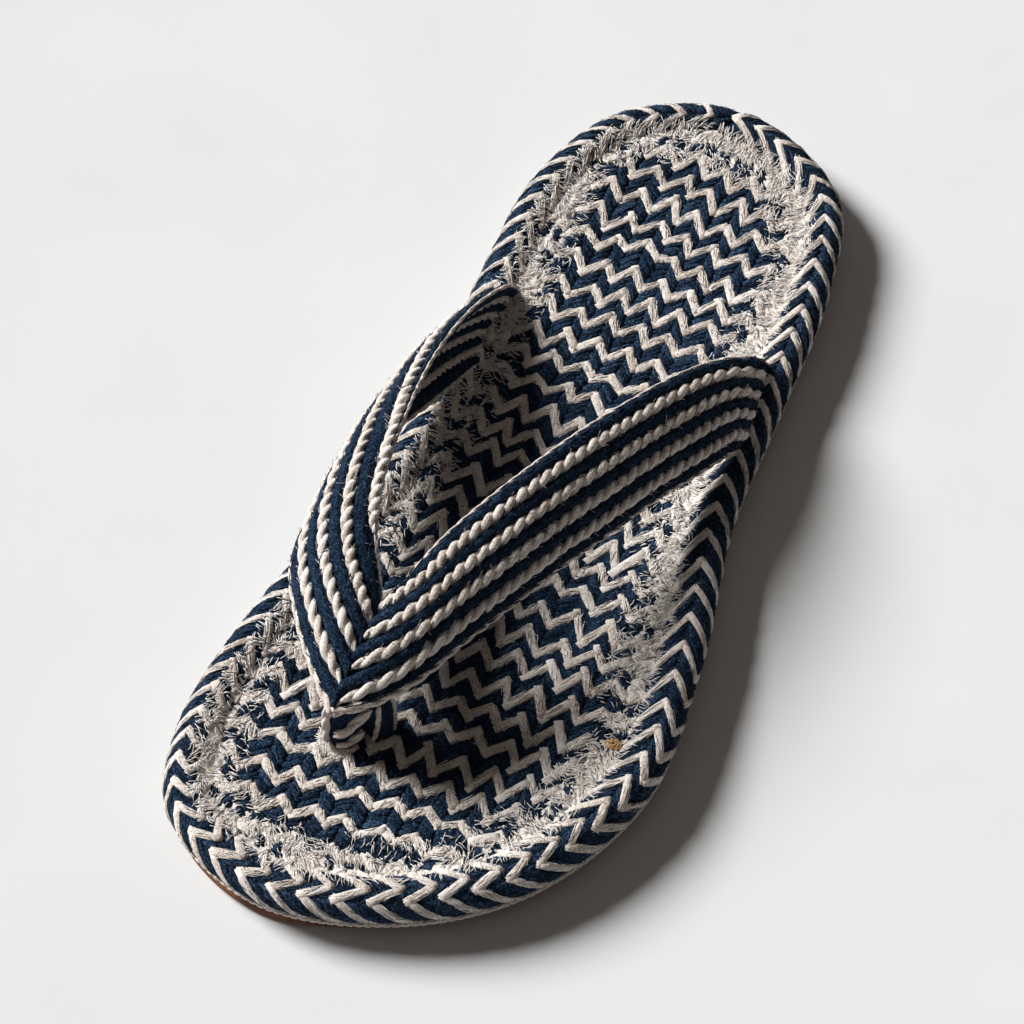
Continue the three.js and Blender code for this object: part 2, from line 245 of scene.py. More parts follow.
def object_from(bm, name):
    mesh = bpy.data.meshes.new(name)
    bm.to_mesh(mesh)
    bm.free()
    mesh.polygons.foreach_set("use_smooth", np.ones(len(mesh.polygons), bool))
    return shown(name, mesh)


def sheet_piece(name, columns, rows, place, seams="", close_ends=False, uv_size=(1, 1)):
    """Seams names the ways, u or v, in which the last line of the sheet is the first one again."""
    bm = bmesh.new()
    uv = bm.loops.layers.uv.new("UVMap")
    bmesh.ops.create_grid(bm, x_segments=columns, y_segments=rows, size=0.5, calc_uvs=True)
    for face in bm.faces:
        for loop in face.loops:
            spot = loop.vert.co
            loop[uv].uv = ((spot.x + 0.5) * uv_size[0], (spot.y + 0.5) * uv_size[1])
    flat = np.array([v.co[:] for v in bm.verts]) + 0.5
    u, v = [np.where(part >= 1, 0, part) if way in seams else part for way, part in zip("uv", flat.T)]
    for vert, co in zip(bm.verts, place(u, v) * MM):
        vert.co = co
    bmesh.ops.remove_doubles(bm, verts=bm.verts, dist=1e-6)
    if close_ends:
        bmesh.ops.holes_fill(bm, edges=[e for e in bm.edges if e.is_boundary], sides=0)
    bmesh.ops.recalc_face_normals(bm, faces=bm.faces)
    return object_from(bm, name)


# %% Tubes from arrays
def tube_faces(count, stations, sides, closed):
    rings = stations if closed else stations - 1
    s, k = np.meshgrid(np.arange(rings), np.arange(sides), indexing="ij")
    s_next, k_next = (s + 1) % stations, (k + 1) % sides
    quad = np.stack([s * sides + k, s * sides + k_next, s_next * sides + k_next, s_next * sides + k], -1)
    starts = (np.arange(count) * stations * sides)[:, None, None]
    return quad.reshape(1, -1, 4) + starts


def tubes(name, paths, ups, half_width, half_height, tint, sides=6, closed=False):
    """paths and ups are count x stations x 3, the half sizes and the tint spread to count x stations."""
    count, stations = paths.shape[:2]
    along = np.roll(paths, -1, 1) - np.roll(paths, 1, 1) if closed else np.gradient(paths, axis=1)
    across = unit(np.cross(along, ups))
    up = unit(np.cross(across, along))
    turn = 2 * np.pi * np.arange(sides) / sides
    wide = np.broadcast_to(half_width, (count, stations))[:, :, None, None]
    high = np.broadcast_to(half_height, (count, stations))[:, :, None, None]
    ring = across[:, :, None] * wide * np.cos(turn)[:, None] + up[:, :, None] * high * np.sin(turn)[:, None]
    verts = (paths[:, :, None] + ring).reshape(-1, 3) * MM
    quads = tube_faces(count, stations, sides, closed)
    mesh = bpy.data.meshes.new(name)
    mesh.vertices.add(len(verts))
    mesh.vertices.foreach_set("co", verts.astype(np.float32).ravel())
    corner_lists = [quads.reshape(-1)]
    sizes = [np.full(quads.shape[0] * quads.shape[1], 4)]
    if not closed:
        starts = (np.arange(count) * stations * sides)[:, None]
        first = starts + np.arange(sides)[None, ::-1]
        last = starts + (stations - 1) * sides + np.arange(sides)[None, :]
        corner_lists += [first.ravel(), last.ravel()]
        sizes.append(np.full(2 * count, sides))
    corners = np.concatenate(corner_lists)
    sizes = np.concatenate(sizes)
    mesh.loops.add(len(corners))
    mesh.loops.foreach_set("vertex_index", corners.astype(np.int32))
    mesh.polygons.add(len(sizes))
    mesh.polygons.foreach_set("loop_start", np.r_[0, np.cumsum(sizes)[:-1]].astype(np.int32))
    mesh.update(calc_edges=True)
    mesh.polygons.foreach_set("use_smooth", np.ones(len(sizes), bool))
    write_yarn_data(mesh, paths, wide, tint, sides, corners)
    return shown(name, mesh)


UV_JUMP = 37.0
UV_JUMP_LIMIT = 211


def write_yarn_data(mesh, paths, wide, tint, sides, corners):
    """The UV map counts millimetres along and round each strand, and each starts at another place of
    the pattern. Tint is a tone for each strand."""
    count, stations = paths.shape[:2]
    steps = np.linalg.norm(np.diff(paths, axis=1), axis=-1)
    length = np.concatenate([np.zeros((count, 1)), np.cumsum(steps, 1)], 1)
    length = length + UV_JUMP * np.arange(count)[:, None] % UV_JUMP_LIMIT
    girth = 2 * np.pi * wide[:, :, 0]
    u = np.broadcast_to(length[:, :, None], (count, stations, sides)).ravel()
    v = (girth * np.arange(sides) / sides).ravel()
    uv = np.stack([u[corners], v[corners]], -1)
    layer = mesh.uv_layers.new(name="UVMap")
    layer.data.foreach_set("uv", uv.astype(np.float32).ravel())
    tones = np.broadcast_to(tint, (count, stations))[:, :, None]
    values = np.broadcast_to(tones, (count, stations, sides)).astype(np.float32)
    mesh.attributes.new("tint", "FLOAT", "POINT").data.foreach_set("value", values.ravel())


# %% [markdown]
# Each piece rides on the body, stands for one solid of the frame, whose part it hides, and takes one
# material.


def finish(piece, material, node):
    piece.data.materials.append(material)
    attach(piece, "root")
    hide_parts(node)
    print(f"{piece.name}: {sum(len(p.vertices) - 2 for p in piece.data.polygons)} triangles")
    return piece


rng = np.random.default_rng(46)

# %% [markdown]
# ## The outline of the sole
#
# Every part of the sole follows one closed line, the edge of the foot seen from above. It is a
# smooth curve through the same few points that the solid model uses. The edge position a runs from
# the back of the heel along the outer side to the toe and back along the inner side.

# %% Outline
HEEL_BACK = (-13.8, 135.0)
TOE_TIP = (-15.1, -135.0)
SOLE_ROWS = table(
    "y medial lateral",
    (120, -43.3, 20.8),
    (90, -54.4, 32.0),
    (50, -52.1, 36.7),
    (10, -46.3, 40.4),
    (-30, -48.4, 50.4),
    (-70, -54.1, 54.7),
    (-104, -53.3, 41.2),
    (-125, -43.5, 17.2),
)
CURVE_STEPS = 60


def curve_piece(p0, p1, p2, p3, t):
    """One span of a centripetal Catmull-Rom curve, from p1 to p2."""
    d0, d1, d2 = [max(np.linalg.norm(b - a), 1e-8) ** 0.5 for a, b in ((p0, p1), (p1, p2), (p2, p3))]
    m1 = ((p1 - p0) / d0 - (p2 - p0) / (d0 + d1) + (p2 - p1) / d1) * d1
    m2 = ((p2 - p1) / d1 - (p3 - p1) / (d1 + d2) + (p3 - p2) / d2) * d1
    t = np.asarray(t)[:, None]
    cubic = 2 * p1 - 2 * p2 + m1 + m2
    square = -3 * p1 + 3 * p2 - 2 * m1 - m2
    return p1 + t * m1 + t ** 2 * square + t ** 3 * cubic


def outline_points():
    lateral = np.column_stack([SOLE_ROWS["lateral"], SOLE_ROWS["y"]])
    medial = np.column_stack([SOLE_ROWS["medial"], SOLE_ROWS["y"]])[::-1]
    knots = np.vstack([HEEL_BACK, lateral, TOE_TIP, medial])
    t = np.arange(CURVE_STEPS) / CURVE_STEPS
    spans = [curve_piece(*np.take(knots, range(i - 1, i + 3), axis=0, mode="wrap"), t)
             for i in range(len(knots))]
    return np.vstack([*spans, knots[:1]])


OUTLINE = outline_points()
EDGE_AT = run_of(OUTLINE)
EDGE_LENGTH = EDGE_AT[-1]
TANGENT_REACH = 0.6


def on_outline(a):
    return pick(np.mod(a, EDGE_LENGTH), EDGE_AT, OUTLINE)


def edge(a):
    """Points of the outline and the directions that lead inwards from them."""
    along = unit(on_outline(a + TANGENT_REACH) - on_outline(a - TANGENT_REACH))
    return on_outline(a), np.stack([along[..., 1], -along[..., 0]], -1)


def from_table(rows, a, column):
    """What a table says at edge positions, blended between its rows."""
    return np.interp(np.mod(a, EDGE_LENGTH), rows["a"], rows[column])


def inset_of(points):
    """How far points lie inside the outline, and the edge position nearest to each."""
    near = np.concatenate([np.argmin(((part[:, None] - OUTLINE[None]) ** 2).sum(-1), 1)
                           for part in np.array_split(points, max(1, len(points) // 2000))])
    base, inward = edge(EDGE_AT[near])
    return ((points - base) * inward).sum(-1), EDGE_AT[near]


print("edge length, mm:", round(EDGE_LENGTH, 1))

# %% [markdown]
# ## The base of the sole
#
# Three plain pieces carry the yarn: a leather outsole, a stuffed pad above it and the woven tape
# that wraps the pad's edge. The outsole and pad are stacks of rings, each ring the outline set in
# by some distance at some height, so both are one wrapped sheet closed in the middle. Round the tip
# of the toe the outsole stands out a little further, as a narrow welt.

# %% Stacked rings
SPINE_X = -9.7
SPINE_END = 95.0
SPINE_REACH = 35
RING_STEPS = 240
WELT_AT = 341.0
WELT_REACH = 24.0


def ring_point(u, inset, height, share):
    base, inward = edge(u * EDGE_LENGTH)
    spot = base + inward * inset[:, None]
    spine = np.stack([np.full_like(u, SPINE_X), np.clip(spot[:, 1], -SPINE_END, SPINE_END)], -1)
    spot = spot + (spine - spot) * share[:, None]
    return np.column_stack([spot, height])


def ring_stack(name, profile, rows, welt=0.0):
    """profile is a list of (inset, height, share towards the spine) from the bottom middle to the top."""
    profile = np.array(profile, float)
    place_at = run_of(profile * (1, 1, SPINE_REACH))

    def place(u, v):
        inset, height, share = [np.interp(v, place_at / place_at[-1], column) for column in profile.T]
        inset = inset - welt * np.exp(-((u * EDGE_LENGTH - WELT_AT) / WELT_REACH) ** 2)
        return ring_point(u, inset, height, share)

    return sheet_piece(name, RING_STEPS, rows, place, close_ends=True, uv_size=(EDGE_LENGTH, 100))


# %% [markdown]
# The outsole is vegetable-tanned leather, cut from a sheet and waxed at its edge. It is matt and
# warm brown, with fine grain, darker pores, and scuffs on the face that meets the ground.

# %% Leather
GRAIN_SIZE = 0.5
GRAIN_RELIEF = 0.1
SCUFF_SIZE = 9.0
PORE_SHARE = 0.8
LEATHER_TONES = [(0.3, "#5E3A26"), (0.5, "#875639"), (0.7, "#A1714F")]
PORE_TONES = [(0.0, "#FFFFFF"), (0.8, "#C9B4A6")]


def leather_material():
    surface = {"Roughness": 0.62, "Specular_IOR_Level": 0.4}
    material, tree, shader = new_material("waxed_vegetable_tanned_leather", **surface)
    place = add(tree, "TexCoord").outputs["Object"]
    grain = add(tree, "TexVoronoi", {"Vector": place, "Scale": 1 / (GRAIN_SIZE * MM)}).outputs["Distance"]
    scuffs = add(tree, "TexNoise", {"Vector": place, "Scale": 1 / (SCUFF_SIZE * MM), "Detail": 6.0})
    tone = add(tree, "ValToRGB", {"Fac": scuffs.outputs["Fac"]}, stops=LEATHER_TONES)
    pores = add(tree, "ValToRGB", {"Fac": grain}, stops=PORE_TONES)
    paint(tree, shader, PORE_SHARE, tone, pores, grain, 0.35, GRAIN_RELIEF, invert=True)
    return material


leather = leather_material()

# %% The outsole
OUTSOLE_THICKNESS = 3.0
OUTSOLE_INSET = 1.7
OUTSOLE_WELT = 1.8
OUTSOLE_ROUND = 0.6
CENTRE_SHARE = 0.96


def rounded_plate(inset, low, high, round_off, steps=5):
    """Half a section: in along the bottom, round two edges and back in along the top."""
    turns = np.linspace(0, np.pi / 2, steps)
    bottom = [(inset + round_off * (1 - np.sin(t)), low + round_off * (1 - np.cos(t)), 0) for t in turns]
    top = [(inset + round_off * (1 - np.cos(t)), high - round_off * (1 - np.sin(t)), 0) for t in turns]
    return [(inset + round_off, low, CENTRE_SHARE), *bottom, *top, (inset + round_off, high, CENTRE_SHARE)]


plate = rounded_plate(OUTSOLE_INSET, 0, OUTSOLE_THICKNESS, OUTSOLE_ROUND)
outsole = ring_stack("leather_outsole", plate, 24, welt=OUTSOLE_WELT)
finish(outsole, leather, "outsole")

# %% [markdown]
# ## Section of the rim
#
# The tape starts under the bulge of the edge, goes round its widest part, over the crest and down
# to the panel. The position b counts millimetres along that section, from the piping inwards. A
# place on the rim is then a pair (a, b) and a lift along the surface normal, which is all that a
# strand needs to follow it.

# %% Rim surface
RIM_LOW_HEIGHT = 5.5
RIM_TUCK = 1.6
RIM_WIDEST_HEIGHT = 8.0
RIM_CREST_HEIGHT = 12.8
RIM_CREST_INSET = 4.8
TAPE_WIDTH_ON_TOP = 10.8
FOOTBED_EDGE_HEIGHT = 10.8
TAPE_THICKNESS = 1.6


def rim_line():
    q = np.linspace(1, 0, 14)[:-1]
    drop = RIM_WIDEST_HEIGHT - RIM_LOW_HEIGHT
    lower = np.stack([RIM_TUCK * (1 - np.sqrt(1 - q ** 2)), RIM_WIDEST_HEIGHT - drop * q], -1)
    t = np.linspace(0, np.pi / 2, 20)
    rise = RIM_CREST_HEIGHT - RIM_WIDEST_HEIGHT
    upper = np.stack([RIM_CREST_INSET * (1 - np.cos(t)), RIM_WIDEST_HEIGHT + rise * np.sin(t)], -1)
    q = np.linspace(0, 1, 16)[1:]
    run = TAPE_WIDTH_ON_TOP - RIM_CREST_INSET
    slope = np.stack([RIM_CREST_INSET + run * q, RIM_CREST_HEIGHT - (RIM_CREST_HEIGHT
                      - FOOTBED_EDGE_HEIGHT) * q ** 2], -1)
    return np.vstack([lower, upper, slope])


RIM = rim_line()
RIM_AT = run_of(RIM)
RIM_WIDTH = RIM_AT[-1]
RIM_WAY = unit(np.gradient(RIM, axis=0))
RIM_TOP = slice(14, None)


def on_rim(a, b, lift):
    """Points of the rim, and the surface normals there."""
    base, inward = edge(a)
    inset, height, way_in, way_up = [np.interp(b, RIM_AT, part) for part in (*RIM.T, *RIM_WAY.T)]
    inset = inset - way_up * lift
    height = height + way_in * lift
    point = np.concatenate([base + inward * inset[..., None], height[..., None]], -1)
    normal = np.concatenate([-inward * way_up[..., None], way_in[..., None]], -1)
    return point, normal


print("rim section, mm:", round(RIM_WIDTH, 1))

# %% The tape under the strands
RIM_BASE_DROP = 0.25


def place_tape(u, v):
    half = v <= 0.5
    b = np.where(half, 2 * v, 2 - 2 * v) * RIM_WIDTH
    lift = np.where(half, -RIM_BASE_DROP, -TAPE_THICKNESS)
    return on_rim(u * EDGE_LENGTH, b, lift)[0]


tape = sheet_piece("rim_tape", 326, 28, place_tape, seams="uv", uv_size=(EDGE_LENGTH, 2 * RIM_WIDTH))
finish(tape, navy_yarn, "edge_tape")

# %% [markdown]
# ## Arms of the zigzags
#
# Both zigzags, on the rim and on the panel, are made of short straight arms. The yarn in an arm is a
# few thick flat strands side by side, and fine fibres that have worked loose and lie over them at
# small angles. The thick strands give the form and the fibres break its edges, as on worn cotton.
# Two functions lay them out on a flat surface, a third wraps the result on the rim or the panel, and
# a fourth does so for both colours of a zigzag.

# %% Strands and fibres of an arm
REACH_SPREAD = 0.16
BOW_SPREAD = 0.1
SIDE_SPREAD = 0.06
LIFT_SPREAD = 0.05
FIBRE_FROM = (-0.2, 0.5)
FIBRE_SHARE = (0.35, 0.72)
FIBRE_LAST = 1.18
TONE_SPREAD = 0.045


def along_arms(first, last, share, sideways):
    """Points at shares of the way along each arm, moved sideways. Both are arms x stations."""
    way = last - first
    normal = np.stack([-way[:, 1], way[:, 0]], -1) / np.linalg.norm(way, axis=1, keepdims=True)
    return first[:, None] + way[:, None] * share[..., None] + normal[:, None] * sideways[..., None]


def core_strands(first, last, reach, bulge, sink, stations=6):
    """Thick strands from end to end, drawn out by reach and arched by bulge."""
    count = len(first)
    length = np.linalg.norm(last - first, axis=1)[:, None]
    t = np.linspace(0, 1, stations)[None]
    ends = rng.normal(reach, REACH_SPREAD, (2, count, 1)) / length
    share = t * (1 + ends[0] + ends[1]) - ends[0]
    bow = rng.normal(0, BOW_SPREAD, (count, 1)) * np.sin(np.pi * t) + rng.normal(0, SIDE_SPREAD, (count, 1))
    lift = (1 - (2 * t - 1) ** 4) * bulge - sink + rng.normal(0, LIFT_SPREAD, (count, 1))
    return along_arms(first, last, share, bow), lift


def loose_fibres(first, last, per_arm, half_width, height, stray, stations=4):
    """Fine fibres over the strands, each over a part of the arm and at a small angle to it."""
    first, last = np.repeat(first, per_arm, axis=0), np.repeat(last, per_arm, axis=0)
    count = len(first)
    t = np.linspace(0, 1, stations)[None]
    share = rng.uniform(*FIBRE_FROM, (count, 1)) + rng.uniform(*FIBRE_SHARE, (count, 1)) * t
    share = np.minimum(share, FIBRE_LAST)
    across = rng.uniform(-1.05, 1.05, (count, 1)) + rng.normal(0, stray, (count, 1)) * (2 * t - 1)
    crown = np.sqrt(np.clip(1.2 - across ** 2, 0, 1)) * np.clip(1 - (2 * share - 1) ** 4, 0, 1)
    lift = height * crown + rng.uniform(0, 0.22, (count, 1)) * np.sin(np.pi * t)
    return along_arms(first, last, share, across * half_width), lift


def lay_yarn(name, surface, laid, half_width, half_height, material, sides=3, tone=0.0, end_size=0.7):
    """Wrap laid paths on a surface, given as (wrapping function, node), and join them into one piece."""
    wrap, node = surface
    flat, lift = joined(laid)
    points, ups = wrap(flat, lift)
    tones = rng.normal(tone, TONE_SPREAD, (len(points), 1))
    width = half_width * rng.uniform(0.85, 1.15, (len(points), 1))
    taper = np.full(points.shape[1], 1.0)
    taper[[0, -1]] = end_size
    piece = tubes(name, points, ups, width * taper, half_height * taper, tones, sides=sides)
    return finish(piece, material, node)


# %% One zigzag
FIBRES = {
    "navy": {"half_width": 0.09, "half_height": 0.08, "material": navy_yarn, "tone": 0.06},
    "cream": {"half_width": 0.11, "half_height": 0.1, "material": cream_yarn, "tone": 0.03},
}


def weave(area, surface, arms, strands, loose, sizes):
    """Lay the yarn of a zigzag. Arms, strands, loose and sizes have an entry for each colour."""
    laid = {}
    for colour in FIBRES:
        both = [(core_strands(*ends, **strands[colour]), loose_fibres(*ends, **loose[colour]))
                for ends in arms[colour]]
        laid[colour] = list(zip(*both))
    for colour, fine in FIBRES.items():
        cores, fibres = laid[colour]
        lay_yarn(f"{area}_{colour}_strands", surface, cores, material=fine["material"], **sizes[colour])
        lay_yarn(f"{area}_{colour}_fibres", surface, fibres, **fine)


# %% [markdown]
# ## The frayed ring
#
# Between tape and panel the cut ends of the yarn stand out as a ring of matted fibres, mostly pale
# with some navy. It starts on the inner slope of the tape. A table says, at places along the edge,
# where the ring starts and ends, counted inwards from the outline, because by the ends of the bands
# and at the heel it spreads further over the panel.

# %% Where the ring lies
RING = table(
    "a start end",
    (0, 10.0, 21.5), (30, 9.2, 19.5), (60, 8.0, 18.0), (81, 9.3, 15.5),
    (96, 8.6, 22.0), (120, 9.0, 18.5), (192, 9.8, 19.0), (213, 9.8, 19.8),
    (223, 9.4, 17.5), (238, 9.3, 20.0), (255, 8.4, 18.0), (280, 8.0, 16.5),
    (337, 7.6, 17.5), (365, 7.0, 16.5), (388, 6.0, 17.0), (415, 6.4, 15.5),
    (470, 6.4, 15.5), (530, 6.8, 16.5), (561, 7.0, 20.0), (585, 6.8, 15.5),
    (600, 6.8, 14.5), (625, 8.2, 18.5), (652.1, 10.0, 21.5),
)
WAVES = rng.normal(0, 1, (10, 3))


def lumpy(x, y, size):
    """A bumpy pattern of about unit height whose bumps are about size apart."""
    total = sum(np.sin(2 * np.pi * (x * p + y * q) / size / 1.3 + 9 * r) for p, q, r in WAVES)
    return total / math.sqrt(len(WAVES) / 2)


def ragged(a):
    """How the frayed ring widens and narrows along the edge, in millimetres."""
    turn = 2 * np.pi * a / EDGE_LENGTH
    return 0.7 * np.sin(17 * turn + 0.6) + 0.6 * np.sin(31 * turn + 2.1) + 0.6 * np.sin(67 * turn)


def ring_span(a):
    """The insets at which the ring starts and ends."""
    return from_table(RING, a, "start"), from_table(RING, a, "end") + ragged(a)


print("ring is", round(float(np.mean(RING["end"] - RING["start"])), 1), "mm wide on average")

# %% [markdown]
# ## Chevrons of the rim
#
# Seen flat, the tape is a zigzag whose corners point to and fro along the edge. It was sewn on with
# a slight twist, so its corners lie lower on one side of the foot than on the other. A short table
# says, at a few positions along the edge, where the two corners lie across the tape, and how far
# they and the two ends of a chevron are pushed along. Between the rows the values are blended.

# %% The corners of the chevrons
CHEVRON_COUNT = 78
CHEVRON_PITCH = EDGE_LENGTH / CHEVRON_COUNT
RIM_FOLDS = table(
    "a low low_push high high_push foot_push head_push",
    (0, 3.0, 8.6, 11.2, 0, -3.0, 12),
    (28, 3.1, 8.5, 11.2, 0, 5.0, 12),
    (180, 3.4, 8.0, 11.2, 0, 4.0, 9),
    (205, 6.6, 6.8, 11.0, 0, 0.0, 9),
    (250, 8.6, 7.2, 11.6, 0, -4.0, 9),
    (310, 8.5, 7.2, 11.4, 0, -4.0, 9),
    (355, 8.2, 7.0, 11.3, 0, -4.2, 9),
    (377, 9.0, 5.4, 12.2, 0, -6.5, 8),
    (392, 10.6, 2.4, 14.0, -1, -10.0, 3),
    (420, 12.0, 0.0, 16.6, -9, -13.0, -8),
    (622, 12.2, 0.0, 16.6, -10, -14.0, -9),
    (652, 12.2, 0.0, 16.6, -10, -3.0, -9),
)
HEAD_UNDER_RING = 1.0
UNEVEN = rng.normal(0, 0.22, (4, CHEVRON_COUNT, 2)) * (1.0, 0.6)


def rim_arms(offset):
    """Ends of the three arms of each chevron, as pairs of (a, b). Offset slides them along the edge."""
    a = np.arange(CHEVRON_COUNT) * CHEVRON_PITCH
    columns = ("low", "low_push", "high", "high_push", "foot_push", "head_push")
    low, low_push, high, high_push, foot_push, head_push = [from_table(RIM_FOLDS, a, c) for c in columns]
    start = np.interp(ring_span(a)[0] + HEAD_UNDER_RING, RIM[RIM_TOP, 0], RIM_AT[RIM_TOP])
    head = np.maximum(start, high + 0.5)
    head_push = high_push + (head_push - high_push) * (head - high) / (RIM_WIDTH - high + 0.01)
    knots = [(foot_push, 0 * a), (low_push, low), (high_push, high), (head_push, head)]
    knots = [np.stack([a + offset + push, level], -1) + UNEVEN[i] for i, (push, level) in enumerate(knots)]
    return [(knots[i], knots[i + 1]) for i in range(3)]


print("chevron pitch, mm:", round(CHEVRON_PITCH, 2))

# %% The rim's yarn
NAVY_PER_CHEVRON = 5
NAVY_SPAN = 0.92
CREAM_STROKE = 1.0


def on_tape(flat, lift):
    return on_rim(flat[..., 0], np.clip(flat[..., 1], 0.0, RIM_WIDTH), lift)


shares = (np.arange(NAVY_PER_CHEVRON) + 0.5) / NAVY_PER_CHEVRON * NAVY_SPAN + (1 - NAVY_SPAN) / 2
arms = {"navy": [ends for share in shares for ends in rim_arms(share * CHEVRON_PITCH)],
        "cream": rim_arms(0.0)}
strands = {"navy": {"reach": 0.2, "bulge": 0.12, "sink": 0.14, "stations": 5},
           "cream": {"reach": 0.78, "bulge": 0.1, "sink": -0.06}}
loose = {"navy": {"per_arm": 2, "half_width": 0.9, "height": 0.3, "stray": 0.9},
         "cream": {"per_arm": 9, "half_width": CREAM_STROKE, "height": 0.44, "stray": 0.24}}
sizes = {"navy": {"half_width": 1.0, "half_height": 0.27, "sides": 5},
         "cream": {"half_width": CREAM_STROKE, "half_height": 0.34, "sides": 8, "end_size": 1.0}}
weave("rim", (on_tape, "edge_tape"), arms, strands, loose, sizes)

# %% [markdown]
# ## Piping
#
# A thin cream cord runs round the slipper where the tape meets the outsole. It has two plies that
# twist round each other. A ply is a helix about the cord's middle line, so both plies are tubes
# whose paths a formula gives, with a whole number of turns so that they join up.

# %% The piping cord
PIPING_HEIGHT = 4.4
PIPING_INSET = 0.8
PIPING_PLY_RADIUS = 0.56
PIPING_PLY_OFFSET = 0.3
PIPING_TURNS = 150
PIPING_STEPS = 6

turn = np.linspace(0, 2 * np.pi * PIPING_TURNS, PIPING_TURNS * PIPING_STEPS, endpoint=False)
phase = turn[None] + np.array([[0], [np.pi]])
a = np.broadcast_to(turn / (2 * np.pi * PIPING_TURNS) * EDGE_LENGTH, phase.shape)
base, inward = edge(a)
spot = base + inward * (PIPING_INSET + PIPING_PLY_OFFSET * np.cos(phase))[..., None]
height = PIPING_HEIGHT + PIPING_PLY_OFFSET * np.sin(phase)
paths, ups = upright(spot, height)
piping = tubes("piping_plies", paths, ups, PIPING_PLY_RADIUS, PIPING_PLY_RADIUS, 0.0, sides=5,
               closed=True)
finish(piping, cream_yarn, "piping")

# %% [markdown]
# ## The pad
#
# The foot rests on a stuffed pad. It is slightly dished, and its top is covered by the woven panel.

# %% Pad and panel height
PANEL_EDGE = TAPE_WIDTH_ON_TOP + 0.3
PAD_FOOT = 3.0
PAD_BOTTOM = 3.3
FOOTBED_DISH = 0.9
DISH_SHARE = 0.62
HALF_WIDTH = 44.0


def panel_height(points):
    inset, _ = inset_of(points)
    share = np.clip((inset - PANEL_EDGE) / (HALF_WIDTH - PANEL_EDGE) / DISH_SHARE, 0, 1)
    x, y = points[:, 0], points[:, 1]
    swell = 0.16 * np.sin(x / 9.1 + 0.7 * np.sin(y / 23)) * np.sin(y / 12.7 + 1.1)
    return FOOTBED_EDGE_HEIGHT - FOOTBED_DISH * share + swell


PAD_LINE = [
    (PAD_FOOT, PAD_BOTTOM, CENTRE_SHARE), (PAD_FOOT, PAD_BOTTOM, 0), (PAD_FOOT, 5.2, 0),
    (2.4, 8.0, 0), (3.4, 10.2, 0), (5.6, 10.8, 0), (9.0, 9.9, 0), (TAPE_WIDTH_ON_TOP, 9.2, 0),
    (PANEL_EDGE, 10.1, 0), (PANEL_EDGE + 1, 10.45, 0),
    (PANEL_EDGE, 10.2, DISH_SHARE / 2), (PANEL_EDGE, 9.6, DISH_SHARE), (PANEL_EDGE, 9.6, CENTRE_SHARE),
]
pad = ring_stack("stuffed_pad", PAD_LINE, 40)
finish(pad, navy_yarn, "footbed")

# %% [markdown]
# Under the loose fibres lies a thin matted bed, so that nothing dark shows between them. It is one
# more wrapped sheet, with a lumpy top and ragged edges that sink into the weave on both sides.
# Like the loose ends, the bed wears the cream cotton painted brighter, whose lighter tones stand in for
# light scattered among the fibres.

# %% The matted bed
BED_COLUMNS = 520
BED_ROWS = 22
BED_LIFT = 0.06
BED_SINK = 0.3
BED_DEPTH = 0.9
BED_SHORT = 1.2


def surface_height(points):
    """Height of the rim's slope or of the panel, whichever a point is over."""
    inset, _ = inset_of(points)
    slope = np.interp(inset, RIM[RIM_TOP, 0], RIM[RIM_TOP, 1])
    return np.where(inset < PANEL_EDGE, slope, panel_height(points))


def place_bed(u, v):
    a = u * EDGE_LENGTH
    top = v <= 0.5
    across = np.where(top, 2 * v, 2 - 2 * v)
    start, end = ring_span(a)
    start = start + 0.5 + 0.5 * lumpy(a, 0 * a, 3.1)
    end = end - BED_SHORT
    base, inward = edge(a)
    flat = base + inward * (start + (end - start) * across)[:, None]
    fade = np.sqrt(np.clip(1 - (2 * across - 1) ** 8, 0, 1))
    bump = 0.12 * lumpy(flat[:, 0], flat[:, 1], 2.6)
    lift = np.where(top, (BED_LIFT + BED_SINK + bump) * fade - BED_SINK, -BED_DEPTH)
    return np.column_stack([flat, surface_height(flat) + lift])


bed = sheet_piece("frayed_bed", BED_COLUMNS, BED_ROWS, place_bed, seams="uv", uv_size=(EDGE_LENGTH, 24))
finish(bed, cream_painted_brighter, "footbed")

# %% [markdown]
# ## The woven panel
#
# The panel's zigzag rows run across the foot. In each column of the weave all strands slant one way
# and in the next column the other way, so a column is a stack of parallel strands and the pale ones
# among them line up into a zigzag. Two tables hold what a maker would chalk on the cloth: the line
# that the peaks of one column follow from heel to toe, and how the rows are spaced along it.
# Hand-woven rows are never quite even, so each column is also shifted a little, whole rows drift,
# and near the frayed ring some strands are short or missing, fewest along the outer forefoot.

# %% Plan of the panel
ZIGZAG_WIDTH = 8.3
ARM_RISE = 5.5
PEAK_LINE = table(
    "y x",
    (-130, -13.3), (-100, -13.3), (-70, -13.6), (-50, -14.6),
    (-26, -16.4), (10, -15.5), (45, -14.4), (60, -15.6),
    (72, -16.2), (99, -17.6), (130, -17.8),
)
ROW_LINE = table(
    "row y",
    (-2, 133.7), (0, 116), (8, 45.3), (17, -29.6),
    (30, -133.6),
)
COLUMNS = np.arange(-10, 16)
ROWS = np.arange(-1, 30)
NAVY_ROWS = (0.26, 0.48, 0.7)
CREAM_ROW = -0.02
COLUMN_STEP = rng.normal(0, 0.42, len(COLUMNS))
CORNER_WANDER = rng.normal(0, 0.22, (2, len(COLUMNS) * len(ROWS), 2))
HEEL_ARCH = 2.4
TOE_TILT = 0.12
ARCH_SIDE = 7.6


def eased(value):
    value = np.clip(value, 0, 1)
    return value * value * (3 - 2 * value)


